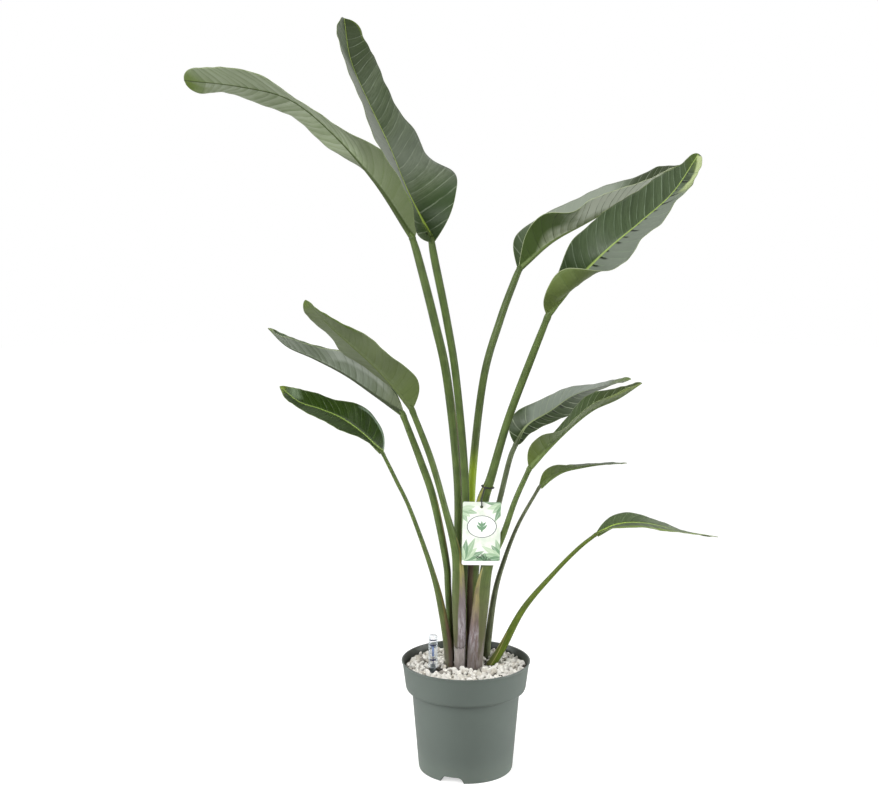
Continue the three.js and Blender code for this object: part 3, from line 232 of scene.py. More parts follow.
# Screen colours and shares of each leaf's faces and stalk, over those of all leaves. See
# blade_material and stalk_material. WHOLE is a depth that takes in the whole half of a blade.
WHOLE = 200
UPPER = dict(ground=(66, 82, 48), dark=(50, 66, 34), light=(84, 102, 66), line=(112, 132, 92),
             midrib=(150, 176, 80), margin=(124, 140, 84), base=(50, 70, 30), tip=(72, 92, 20), rough=0.36,
             base_share=0.3)
UNDER = dict(ground=(102, 116, 78), dark=(82, 98, 58), light=(122, 134, 100), line=(78, 96, 52),
             midrib=(98, 116, 62), margin=(140, 152, 106), base=(80, 98, 42), tip=(104, 124, 42), rough=0.48,
             midrib_width=3.2, lines=0.35)
STALK = dict(ground=(84, 101, 50), dark=(60, 77, 33), inner=(92, 78, 66), wing=(140, 146, 60))
LOOKS = {
    1: dict(
        under=dict(ground=(136, 150, 114), dark=(104, 120, 78), light=(170, 181, 152), base=(92, 108, 60),
                   base_share=0.75, midrib=(66, 80, 40), line=(98, 114, 72), midrib_width=4.2, strips=0.9,
                   lines=0.65, tip=(98, 120, 38), bands=((1, 0.88, 1.1, 24, (100, 122, 38), 0.7),
                   (1, -0.1, 0.36, WHOLE, (88, 99, 66), 0.6), (-1, -0.1, 0.36, WHOLE, (88, 99, 66), 0.6))),
        stalk=dict(inner=(92, 72, 62), wing=(92, 74, 60))),
    2: dict(
        upper=dict(ground=(74, 92, 56), dark=(54, 70, 34), light=(104, 117, 88), line=(146, 158, 132),
                   midrib=(168, 192, 84), midrib_width=2.2, tip=(46, 64, 14), groove_shade_share=1.0, groove_shade_side=-1.0,
                   # The first two bands are painted grey sheen, on the right half and on the left half.
                   lines=0.55, strips=0.9, veins=0.6, bands=((1, 0.22, 0.5, WHOLE, (112, 124, 104), 0.45),
                   (-1, 0.1, 0.8, WHOLE, (134, 140, 128), 0.75), (1, 0.7, 1.1, WHOLE, (48, 64, 22), 0.65),
                   (1, -0.1, 0.2, WHOLE, (46, 66, 32), 0.75), (1, 0.84, 1.1, 5, (96, 116, 36), 0.85))),
        stalk=dict(ground=(80, 98, 46), inner=(90, 72, 56), wing=(104, 104, 48))),
    3: dict(
        upper=dict(ground=(84, 98, 72), dark=(66, 80, 50), light=(100, 114, 90), line=(150, 160, 138),
                   # The first band is painted bluish-grey sheen on the left half.
                   bands=((-1, 0.13, 0.62, WHOLE, (144, 152, 138), 0.85),
                   (-1, 0.58, 1.1, WHOLE, (40, 54, 14), 0.95), (-1, -0.1, 0.1, WHOLE, (58, 76, 40), 0.8))),
        under=dict(ground=(138, 148, 118), dark=(96, 109, 72), light=(172, 180, 158), strips=0.85,
                   line=(58, 72, 36), lines=0.8, base=(88, 104, 54), base_share=0.4, margin=(176, 186, 146),
                   # The first band is the underside's own pale colour, made paler still with painted light
                   # on the right half, which faces down.
                   margin_share=0.9, bands=((1, 0.32, 0.86, 60, (190, 197, 180), 0.75),
                   (1, -0.1, 0.34, 56, (62, 84, 24), 0.92), (1, 0.84, 1.1, WHOLE, (46, 62, 16), 0.95))),
        stalk=dict(glow=(405, 560, (142, 166, 36)))),
    4: dict(
        upper=dict(ground=(60, 76, 46), dark=(42, 56, 28), light=(80, 96, 66), line=(126, 142, 116),
                   midrib=(140, 162, 84), midrib_width=3.0, groove_shade_share=1.0, groove_shade_side=1.0, lines=0.55,
                   strips=0.8, veins=0.6, tip=(84, 104, 30),
                   # The first band is painted grey sheen on the right half.
                   bands=((1, 0.1, 0.84, WHOLE, (118, 126, 114), 0.75),
                   (1, 0.76, 1.1, 26, (172, 185, 130), 1.0), (-1, 0.86, 1.1, WHOLE, (56, 74, 22), 0.6))),
        under=dict(ground=(92, 106, 58), dark=(72, 88, 40), light=(108, 121, 78), base=(90, 106, 48),
                   margin=(158, 168, 128), margin_share=0.9, strips=0.8),
        stalk=dict(inner=(100, 84, 66), wing=(150, 156, 58), foot=0.8)),
    5: dict(
        upper=dict(ground=(84, 98, 78), dark=(64, 78, 56), light=(104, 116, 98), groove_shade_share=0.6),
        under=dict(ground=(112, 121, 104), dark=(82, 94, 70), light=(158, 165, 154), midrib=(58, 68, 44),
                   line=(62, 74, 50), lines=0.6, strips=0.5, veins=0.6, base=(104, 114, 84), rough=0.36,
                   # The band is a painted silvery sheen along the left margin.
                   bands=((-1, 0.1, 0.55, 20, (160, 166, 156), 0.5),)),
        stalk=dict(inner=(74, 78, 46), wing=(170, 150, 72))),
    6: dict(
        under=dict(ground=(102, 114, 80), dark=(88, 100, 62), light=(114, 124, 96), base=(84, 102, 38),
                   base_share=0.5, tip=(92, 114, 32), midrib=(90, 103, 60), midrib_width=2.4, strips=0.4,
                   veins=0.5, bands=((1, 0.35, 0.82, WHOLE, (112, 121, 98), 0.45),
                   (-1, 0.5, 1.1, 8, (84, 106, 34), 0.85))),
        stalk=dict(inner=(124, 112, 114), wing=(150, 146, 58), bloom=0.75, scar=214, foot=0.85)),
    7: dict(
        upper=dict(ground=(36, 56, 8), dark=(24, 42, 4), light=(52, 74, 20), line=(84, 106, 58),
                   base=(34, 54, 10), rough=0.24, ior=1.45, lines=0.5, midrib=(128, 152, 72),
                   midrib_width=2.4, tip=(122, 142, 12), groove_shade_side=-1.0, groove_shade_share=0.5,
                   # All three bands are painted light: highlights near the tip and at the base along the
                   # right margin, and grey sheen over the left half.
                   bands=((1, 0.72, 0.94, 15, (108, 128, 94), 0.75),
                   (1, -0.1, 0.3, 6, (124, 142, 122), 0.85), (-1, 0.08, 0.8, WHOLE, (80, 96, 60), 0.2))),
        stalk=dict(inner=(112, 90, 74), wing=(136, 134, 56), foot=0.4)),
    8: dict(
        upper=dict(ground=(50, 64, 34), dark=(38, 52, 22), light=(78, 91, 64), line=(146, 156, 130),
                   lines=0.85, groove_shade_share=0.8, groove_shade_side=1.0, midrib=(140, 154, 106), midrib_width=1.6,
                   # The first band is painted bluish-grey sheen on the left half.
                   veins=0.6, tip=(100, 120, 54), bands=((-1, 0.14, 0.86, WHOLE, (140, 150, 138), 0.75),
                   (1, 0.8, 1.1, WHOLE, (70, 88, 30), 0.7), (-1, 0.8, 1.1, WHOLE, (92, 112, 50), 0.8))),
        under=dict(ground=(84, 98, 54)),
        stalk=dict(ground=(94, 104, 74), dark=(72, 82, 54))),
    9: dict(
        upper=dict(ground=(60, 76, 38), dark=(44, 58, 20), line=(126, 140, 106), lines=0.75,
                   bands=((-1, 0.56, 1.1, WHOLE, (48, 62, 10), 0.85),
                   (1, 0.6, 1.1, 8, (122, 140, 62), 0.8))),
        under=dict(ground=(92, 106, 60), base=(86, 103, 34), light=(128, 139, 108), strips=0.7,
                   bands=((1, 0.6, 1.05, 12, (122, 140, 60), 0.7),)),
        stalk=dict(inner=(120, 104, 102), wing=(142, 134, 78), bloom=0.7, foot=0.85)),
    10: dict(
        under=dict(ground=(92, 108, 56), base=(84, 102, 36)),
        stalk=dict(ground=(94, 101, 74), dark=(74, 80, 56), inner=(82, 95, 50), wing=(92, 106, 56))),
    11: dict(
        upper=dict(ground=(78, 94, 60), dark=(60, 76, 42), light=(98, 112, 80), tip=(146, 150, 74),
                   bands=((1, 0.0, 1.05, 9, (112, 132, 50), 0.85),)),
        stalk=dict(ground=(84, 100, 24), dark=(64, 80, 14), inner=(78, 84, 26), wing=(98, 108, 34))),
}


def paint(red, green, blue):
    """A screen colour of 0 to 255 as the linear colour that shaders take."""
    linear = []
    for value in (red, green, blue):
        share = value / 255
        linear.append(share / 12.92 if share <= 0.04045 else ((share + 0.055) / 1.055) ** 2.4)
    return (*linear, 1.0)


def shade(colour, factor):
    """The same screen colour, darker or lighter."""
    return [value * factor for value in colour]


class Nodes:
    """Adds nodes to one tree. A value is a socket to link, or a number or colour to set."""

    def __init__(self, tree):
        self.tree = tree

    def connect(self, socket, value):
        if isinstance(value, bpy.types.NodeSocket):
            self.tree.links.new(value, socket)
        else:
            socket.default_value = value

    def add(self, kind, inputs=None, **settings):
        made = self.tree.nodes.new(kind)
        for key, value in settings.items():
            setattr(made, key, value)
        for key, value in (inputs or {}).items():
            self.connect(made.inputs[key], value)
        return made.outputs

    def use(self, group, inputs):
        return self.add("ShaderNodeGroup", inputs, node_tree=group)

    def calc(self, operation, *values, clamp=False):
        return self.add("ShaderNodeMath", dict(enumerate(values)), operation=operation, use_clamp=clamp)[0]

    def scaled(self, value, factor, offset, clamp=False):
        return self.calc("MULTIPLY_ADD", value, factor, offset, clamp=clamp)

    def times(self, *masks):
        result = masks[0]
        for mask in masks[1:]:
            result = self.calc("MULTIPLY", result, mask)
        return result

    def size(self, value):
        return self.calc("ABSOLUTE", value)

    def rest(self, value, clamp=False):
        """What is left of 1."""
        return self.calc("SUBTRACT", 1.0, value, clamp=clamp)

    def ease(self, value, low, high):
        """0 below low and 1 above high, with a smooth step between; reversed where high is lower."""
        flip = high < low
        return self.add("ShaderNodeMapRange",
                        {"Value": value, "From Min": min(low, high), "From Max": max(low, high),
                         "To Min": float(flip), "To Max": float(not flip)},
                        interpolation_type="SMOOTHSTEP")[0]

    def noise(self, vector, scale, detail=3.0, roughness=0.55):
        return self.add("ShaderNodeTexNoise", {"Vector": vector, "Scale": scale, "Detail": detail,
                                               "Roughness": roughness})[0]

    def field(self, name, output="Fac"):
        return self.add("ShaderNodeAttribute", attribute_name=name)[output]

    def split(self, vector):
        return self.add("ShaderNodeSeparateXYZ", {0: vector})

    def join(self, *values):
        return self.add("ShaderNodeCombineXYZ", dict(enumerate(values)))[0]

    def length(self, vector):
        return self.add("ShaderNodeVectorMath", {0: vector}, operation="LENGTH")["Value"]

    def spot(self, output="Object"):
        return self.add("ShaderNodeTexCoord")[output]

    def camera_ray(self):
        return self.add("ShaderNodeLightPath")["Is Camera Ray"]

    def blend(self, share, first, second):
        return self.add("ShaderNodeMix", {0: share, 6: first, 7: second}, data_type="RGBA")[2]

    def cover(self, colour, over, *masks):
        """Lays a screen colour over a colour where all the masks are 1."""
        return self.blend(self.times(*masks), colour, paint(*over))


class Group(Nodes):
    """A node group that takes and gives numbers."""

    def __init__(self, name, given):
        super().__init__(bpy.data.node_groups.new(name, "ShaderNodeTree"))
        for title, default in given.items():
            self.socket(title, "INPUT").default_value = default
        self.given = self.tree.nodes.new("NodeGroupInput").outputs

    def socket(self, title, way):
        return self.tree.interface.new_socket(name=title, in_out=way, socket_type="NodeSocketFloat")

    def give(self, **results):
        """Makes the outputs, and gives back the finished group."""
        for title in results:
            self.socket(title, "OUTPUT")
        end = self.tree.nodes.new("NodeGroupOutput")
        for title, value in results.items():
            self.connect(end.inputs[title], value)
        return self.tree


class Surface(Nodes):
    """A material with its shader. What is the same all over is set on the shader's own sockets."""

    def __init__(self, name, **values):
        self.material = bpy.data.materials.new(name)
        self.material.use_nodes = True
        super().__init__(self.material.node_tree)
        self.shader = self.tree.nodes["Principled BSDF"]
        for key, value in values.items():
            self.feed(key, value)

    def feed(self, key, value):
        self.connect(self.shader.inputs[key], value)

    def bump(self, height, distance, strength):
        self.feed("Normal", self.add("ShaderNodeBump", {"Height": height, "Distance": distance,
                                                        "Strength": strength})[0])

    def speckle(self, broad, grain):
        return self.use(SPECKLE, {"Broad scale": broad, "Grain scale": grain})


# Effects that several materials share. g is the group and s the surface that is being made.

def blade_place(nodes):
    """Rib number, distance from the midrib (right side positive), distance from the margin, share."""
    return (*nodes.split(nodes.field("blade_at", "Vector")), nodes.field("blade_share"))


def make_blade_print():
    """Ribs, the strips between them (own tone and painted light), veins, painted groove shade, midrib,
    margin and ends, as masks.
    """
    g = Group("blade_print", {"Midrib width": 2.0, "Stroke side": 0.0})
    phase, across, rim, share = blade_place(g)
    groove_side = g.given["Stroke side"]
    spot = g.spot()
    distance = g.size(across)
    side = g.calc("GREATER_THAN", across, 0.0)
    moved = g.calc("ADD", phase, g.scaled(g.noise(spot, 22.0), 0.24, -0.12))
    wrapped = g.calc("FRACT", moved)
    number = g.scaled(side, 0.5, g.calc("FLOOR", moved))
    tone = g.add("ShaderNodeTexWhiteNoise", {"W": number}, noise_dimensions="1D")[0]
    # Each strip has its own random tone, plus painted light that grows across it, as if each pleat were lit
    # on one side.
    strip_tone_and_light = g.scaled(tone, 0.45, g.times(g.ease(wrapped, 0.02, 0.8), 0.55))
    off = g.size(g.calc("SUBTRACT", wrapped, 0.5))
    faint = g.scaled(g.ease(g.noise(spot, 38.0, 2.0), 0.35, 0.65), 0.7, 0.3)
    line = g.times(g.ease(off, 0.43, 0.485), faint, g.ease(share, 0.99, 0.9))
    veins = g.join(g.times(phase, 8.0), g.times(distance, 0.04), g.times(side, 9.0))
    fine = g.ease(g.noise(veins, 1.0, 4.0, 0.65), 0.32, 0.68)
    fade = g.rest(g.calc("DIVIDE", distance, g.scaled(tone, 22.0, 5.0)), clamp=True)
    # Painted shade on one side of each groove, fading out within 5 to 27 mm of the midrib; the side input
    # picks the half, and 0 takes both.
    groove_shade = g.times(g.ease(wrapped, 0.6, 0.84), g.ease(wrapped, 0.99, 0.94), g.ease(fade, 0.0, 0.5),
                     g.scaled(across, groove_side, g.rest(g.size(groove_side)), clamp=True))
    remaining = g.rest(share)
    slim = g.times(g.given["Midrib width"], g.scaled(remaining, 0.6, 0.4))
    reach = g.scaled(g.calc("POWER", remaining, 10.0), 3.5, slim)
    midrib = g.rest(g.calc("DIVIDE", distance, reach), clamp=True)
    return g.give(Line=line, Strip=strip_tone_and_light, Fine=fine, Stroke=groove_shade, Midrib=g.ease(midrib, 0.0, 0.5),
                  Margin=g.ease(rim, 1.5, 0.3), Base=g.ease(share, 0.3, 0.05),
                  Tip=g.ease(g.scaled(g.noise(spot, 22.0), 0.16, share), 0.98, 1.08),
                  Patch=g.ease(g.noise(spot, 9.0, 4.0), 0.35, 0.68),
                  Height=g.scaled(fine, 0.12, g.times(line, -0.7)))


def make_blade_band():
    """A zone of a blade: one half of it, between two places along it and near its margin."""
    g = Group("blade_band", {"Side": 1.0, "From": 0.8, "To": 1.0, "Depth": 10.0})
    _, across, rim, share = blade_place(g)
    depth = g.given["Depth"]
    wander = g.scaled(g.noise(g.spot(), 26.0), 0.12, -0.06)
    along = g.calc("ADD", share, wander)
    after = g.calc("MULTIPLY", g.calc("SUBTRACT", along, g.given["From"]), 12.0, clamp=True)
    before = g.calc("MULTIPLY", g.calc("SUBTRACT", g.given["To"], along), 12.0, clamp=True)
    within = g.calc("SUBTRACT", depth, g.scaled(wander, 40.0, rim))
    near = g.calc("DIVIDE", within, g.times(depth, 0.25), clamp=True)
    half = g.scaled(g.times(across, g.given["Side"]), 0.6, 0.5, clamp=True)
    return g.give(Mask=g.times(after, before, near, half))


def make_speckle():
    """Soft mottling and grain for plastic, card and stone."""
    g = Group("speckle", {"Broad scale": 12.0, "Grain scale": 900.0})
    spot = g.spot()
    return g.give(Broad=g.ease(g.noise(spot, g.given["Broad scale"], 4.0), 0.3, 0.7),
                  Grain=g.noise(spot, g.given["Grain scale"], 2.0))


BLADE_PRINT = make_blade_print()
BLADE_BAND = make_blade_band()
SPECKLE = make_speckle()


def blade_material(name, ground, dark, light, line, midrib, margin, base, tip, rough, midrib_width=2.0,
                   strips=0.5, lines=0.5, veins=0.35, groove_shade_share=0.0, groove_shade_side=0.0, base_share=0.8,
                   tip_share=0.9, margin_share=0.6, ior=1.33, bands=()):
    """bands: side (-1 left, 1 right), start, end, depth from the margin in mm, colour, share."""
    s = Surface(name, IOR=ior)
    parts = s.use(BLADE_PRINT, {"Midrib width": midrib_width, "Stroke side": groove_shade_side})
    # The light colour goes on by the strips' own tone and the painted light across each pleat.
    layers = [(light, parts["Strip"], strips), (dark, parts["Fine"], veins),
              (base, parts["Base"], base_share), (tip, parts["Tip"], tip_share)]
    for side, start, end, depth, over, share in bands:
        band = s.use(BLADE_BAND, {"Side": side, "From": start, "To": end, "Depth": depth})
        layers.append((over, band["Mask"], share))
    # Painted shade in the grooves beside the midrib goes on in a colour darker than dark.
    layers += [(line, parts["Line"], lines), (shade(dark, 0.55), parts["Stroke"], groove_shade_share),
               (midrib, parts["Midrib"], 1.0), (margin, parts["Margin"], margin_share)]
    colour = s.blend(parts["Patch"], paint(*ground), paint(*dark))
    for over, mask, share in layers:
        colour = s.cover(colour, over, mask, share)
    s.feed("Base Color", colour)
    s.feed("Roughness", s.scaled(parts["Fine"], 0.08, s.scaled(parts["Patch"], 0.06, rough)))
    s.bump(parts["Height"], 0.0005, 0.7)
    return s.material


def stalk_material(name, ground, dark, inner, wing, top, bloom=0.0, scar=0, foot=0.0, glow=None):
    """inner: inside of the sheath low down, and wing: near its tip at the height top. bloom: grey
    scurf inside. scar: height of an old leaf scar. foot: wear low down. glow: a lit stretch."""
    s = Surface(name, Roughness=0.42, IOR=1.38)
    at = s.field("stalk_at", "Vector")
    across, deep, height = s.split(at)
    squeezed = s.join(across, deep, s.times(height, 0.04))
    mottled = s.join(across, deep, s.times(height, 0.2))
    streak = s.ease(s.noise(squeezed, 0.7, 4.0, 0.65), 0.3, 0.7)
    cloud = s.ease(s.noise(at, 0.06, 4.0), 0.35, 0.65)
    blotch = s.ease(s.noise(mottled, 0.15, 4.0, 0.6), 0.42, 0.6)
    wobble = s.scaled(s.noise(squeezed, 0.25), 5.0, -2.5)
    rim = s.calc("ADD", s.field("stalk_rim"), wobble)
    inside = s.ease(rim, 1.3, -1.3)
    lowness = s.scaled(s.noise(squeezed, 0.2), 50.0, height)
    colour = s.blend(streak, paint(*ground), paint(*dark))
    colour = s.cover(colour, shade(ground, 1.22), cloud, 0.3)
    if glow:
        low, high, over = glow
        colour = s.cover(colour, over, s.ease(height, low, low + 25), s.ease(height, high, high - 60))
    hidden = s.blend(s.ease(lowness, top - 10, top - 90), paint(*wing), paint(*inner))
    hidden = s.cover(hidden, shade(inner, 0.58), streak, 0.35)
    hidden = s.cover(hidden, shade(inner, 0.64), blotch, 0.5)
    if bloom:
        scurf = s.ease(s.noise(mottled, 0.3, 6.0, 0.7), 0.4, 0.62)
        hidden = s.cover(hidden, (172, 168, 172), s.ease(lowness, top - 70, 260), scurf, bloom)
    colour = s.blend(inside, colour, hidden)
    drying = s.scaled(s.ease(height, top - 110, top - 20), 0.6, 0.12)
    colour = s.cover(colour, (158, 148, 92), s.ease(s.size(rim), 1.0, 0.2), drying)
    if foot:
        colour = s.cover(colour, (84, 82, 56), s.ease(lowness, 410, 250), s.rest(inside), foot)
        worn = s.times(s.ease(lowness, 262, 216), foot)
        colour = s.cover(colour, (98, 88, 80), worn)
        colour = s.cover(colour, (142, 137, 138), worn, blotch, 0.6)
        colour = s.cover(colour, (68, 56, 47), worn, streak, 0.6)
    if scar:
        bow = s.times(across, across, -0.035)
        sag = s.calc("ADD", height, s.scaled(wobble, 1.4, bow))
        arc = s.size(s.calc("SUBTRACT", sag, float(scar)))
        colour = s.cover(colour, shade(inner, 0.45), s.ease(arc, 1.5, 0.3), 0.6)
        colour = s.cover(colour, (190, 184, 180), s.ease(sag, scar, scar - 3),
                         s.ease(height, scar - 44, scar - 12), streak, 0.7)
    colour = s.cover(colour, (84, 72, 58), s.ease(lowness, 210, 192), 0.5)
    s.feed("Base Color", colour)
    s.bump(s.calc("ADD", streak, s.ease(rim, -0.6, 0.6)), 0.0006, 0.4)
    return s.material


def plastic(name, colour, rough):
    s = Surface(name, Roughness=rough)
    parts = s.speckle(60.0, 1800.0)
    s.feed("Base Color", s.blend(parts["Broad"], paint(*colour), paint(*map(int, shade(colour, 0.86)))))
    s.bump(parts["Grain"], 0.0001, 0.4)
    return s.material


# Mesh helpers. A sheet is a dictionary of points, faces, the number of each face's material and the
# fields that its shaders read.

FIELDS = {"blade_at": 3, "blade_share": 1, "stalk_at": 3, "stalk_rim": 1, "tone": 1}


def add_object(name, data):
    made = bpy.data.objects.new(name, data)
    bpy.context.scene.collection.objects.link(made)
    return made


def make_object(name, sheets, materials, smooth=True):
    """A mesh object of several sheets, with the fields and the layout that any of them has."""
    faces = []
    numbers = []
    start = 0
    for sheet in sheets:
        faces.extend([tuple(index + start for index in face) for face in sheet["faces"]])
        numbers.extend(sheet.get("numbers", [0] * len(sheet["faces"])))
        start += len(sheet["points"])

    def gather(key, width):
        values = [np.reshape(sheet.get(key, np.zeros((len(sheet["points"]), width))), (-1, width))
                  for sheet in sheets]
        return np.concatenate(values)

    mesh = bpy.data.meshes.new(name)
    mesh.from_pydata((gather("points", 3) * MM).tolist(), [], faces)
    mesh.polygons.foreach_set("material_index", numbers)
    mesh.polygons.foreach_set("use_smooth", [smooth] * len(faces))
    for key, width in FIELDS.items():
        if any(key in sheet for sheet in sheets):
            field = mesh.attributes.new(key, "FLOAT_VECTOR" if width == 3 else "FLOAT", "POINT")
            values = gather(key, width).astype(np.float32).ravel()
            field.data.foreach_set("vector" if width == 3 else "value", values)
    if any("uv" in sheet for sheet in sheets):
        corners = np.empty(len(mesh.loops), dtype=np.int32)
        mesh.loops.foreach_get("vertex_index", corners)
        uv = gather("uv", 2)[corners].astype(np.float32).ravel()
        mesh.uv_layers.new(name="UVMap").data.foreach_set("uv", uv)
    mesh.validate()
    for material in materials:
        mesh.materials.append(material)
    return add_object(name, mesh)


def build(name, sheets, materials, slot, *replaced, body=SUPPORT, sharp=None, smooth=True):
    """Makes a piece with creases at edges over the angle sharp, and places it."""
    piece = make_object(name, sheets, materials, smooth)
    if sharp:
        piece.data.set_sharp_from_angle(angle=math.radians(sharp))
    place(piece, slot, *replaced, body=body)
    return piece


def place(piece, slot, *replaced, body=SUPPORT):
    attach(piece, body)
    if replaced:
        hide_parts(*replaced)


def dress(name, material):
    """Gives a node of the frame its material."""
    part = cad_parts[name]
    part.data.materials.clear()
    part.data.materials.append(material)


def turns(count):
    """Evenly spaced angles round a circle."""
    return np.linspace(0, 2 * np.pi, count, endpoint=False)


def grid_faces(rows, columns, closed=False, flip=False):
    faces = []
    for i in range(rows - 1):
        for j in range(columns if closed else columns - 1):
            a = i * columns + j
            b = i * columns + (j + 1) % columns
            face = (a, b, b + columns, a + columns)
            faces.append(face[::-1] if flip else face)
    return faces


def tube_ends(rings, sides):
    last = (rings - 1) * sides
    return [tuple(range(sides))[::-1], tuple(range(last, last + sides))]


def lathe(profile, segments, centre=(0, 0), closed=False):
    """Turns [radius, height] pairs round an upright axis. Points on the axis become one point."""
    rings = []
    points = []
    for radius, height in profile:
        if radius < 1e-6:
            rings.append([len(points)] * segments)
            points.append((*centre, height))
        else:
            rings.append(range(len(points), len(points) + segments))
            points.extend((centre[0] + radius * math.cos(a), centre[1] + radius * math.sin(a), height)
                          for a in turns(segments))
    faces = []
    for lower, upper in zip(rings, rings[1:] + (rings[:1] if closed else [])):
        for k in range(segments):
            n = (k + 1) % segments
            face = tuple(dict.fromkeys((lower[k], lower[n], upper[n], upper[k])))
            if len(face) > 2:
                faces.append(face)
    return {"points": np.array(points, float), "faces": faces}


def rounded(profile, radius, steps=4):
    """Rounds the corners of an open profile with small arcs."""
    result = [profile[0]]
    for before, corner, after in zip(profile, profile[1:], profile[2:]):
        a, b, c = (np.array(point, float) for point in (before, corner, after))
        reach = min(radius, np.linalg.norm(a - b) / 2.2, np.linalg.norm(c - b) / 2.2)
        first = b + unit(a - b) * reach
        second = b + unit(c - b) * reach
        for k in range(steps + 1):
            t = k / steps
            result.append(tuple((1 - t) ** 2 * first + 2 * t * (1 - t) * b + t * t * second))
    return result + [profile[-1]]


# Curves.

def unit(vectors):
    return vectors / np.linalg.norm(vectors, axis=-1, keepdims=True)


def smooth(values, share):
    """A smooth curve through evenly spaced values; share runs from 0 to 1."""
    values = np.asarray(values, float)
    last = len(values) - 1
    wide = np.concatenate([[2 * values[0] - values[1]], values, [2 * values[-1] - values[-2]]])
    along = np.clip(np.asarray(share, float), 0, 1) * last
    i = np.minimum(along.astype(int), last - 1)
    f = along - i
    if values.ndim > 1:
        f = f[..., None]
    p0, p1, p2, p3 = wide[i], wide[i + 1], wide[i + 2], wide[i + 3]
    return 0.5 * (2 * p1 + (p2 - p0) * f + (2 * p0 - 5 * p1 + 4 * p2 - p3) * f ** 2
                  + (3 * p1 - p0 - 3 * p2 + p3) * f ** 3)


class Midrib:
    """Point and direction at a distance from the neck, straight on past the ends."""

    def __init__(self, points):
        self.points = np.array(points, float)
        self.share = np.linspace(0, 1, 401)
        steps = np.diff(smooth(self.points, self.share), axis=0)
        self.marks = np.concatenate([[0], np.cumsum(np.linalg.norm(steps, axis=1))])
        self.length = self.marks[-1]

    def at(self, distance):
        within = np.clip(distance, 0, self.length)
        share = np.interp(within, self.marks, self.share)
        direction = unit(smooth(self.points, share + 0.001) - smooth(self.points, share - 0.001))
        return smooth(self.points, share) + direction * (distance - within)[..., None], direction


# Blades.

def taper(u, widest, power, root):
    rise = 0.04 + 0.96 * (1 - (1 - np.minimum(u / widest, 1)) ** 3.2)
    past = np.maximum(0, (u - widest) / (1 - widest))
    return np.maximum(rise * np.maximum(1 - past ** power, 0) ** root, 0.012)


def half_width(leaf, u, side):
    return leaf["width"][side] * taper(u, *leaf["shape"]) * smooth(leaf["trim"][side], u)


def fade_ends(u, first, last):
    """Rises from 0 to 1 over the first share of a blade, and falls to 0 again over the last."""
    return np.minimum(u / first, 1) * np.minimum((1 - u) / last, 1)


def blade_points(leaf, rib, u, v, side):
    """Points of the upper face on one side: 0 is left, 1 is right; v runs from rib to margin."""
    width = leaf["width"][side]
    reach = half_width(leaf, u, side) * v
    back = -0.01 * rib.length * (1 - np.minimum(u / 0.22, 1)) ** 1.5
    forward = 0.1 * rib.length * fade_ends(u, 0.3, 0.25)
    distance = u * rib.length + (back + forward) * v ** 1.4
    point, direction = rib.at(distance)
    share = np.clip(distance / rib.length, 0, 1)
    up = np.array(leaf.get("up", (0, 0, 1)), float)
    up = unit(up - direction * (direction @ up)[..., None])
    roll = np.radians(smooth(leaf["roll"], share))[..., None]
    normal = np.cos(roll) * up + np.sin(roll) * np.cross(direction, up)
    outside = np.cross(direction, normal) * (1 if side else -1)
    fold = np.radians(smooth(leaf["fold"][side], share))
    curl = np.radians(smooth(leaf["curl"][side], share)) if "curl" in leaf else np.zeros_like(u)
    curl = np.where(np.abs(curl) < 0.001, 0.001, curl)
    angle = fold + curl * reach / width
    outward = width / curl * (np.sin(angle) - np.sin(fold))
    upward = -width / curl * (np.cos(angle) - np.cos(fold))
    height, waves = leaf["wave"]
    wave = v * v * np.sin(2 * np.pi * waves * u + (0 if side else 1.7))
    wave += 0.25 * v ** 3 * np.sin(2 * np.pi * (2.7 * waves) * u + 0.9 * side)
    wave *= height * fade_ends(u, 0.1, 0.1)
    return (point + (outward - wave * np.sin(angle))[..., None] * outside
            + (upward + wave * np.cos(angle))[..., None] * normal)


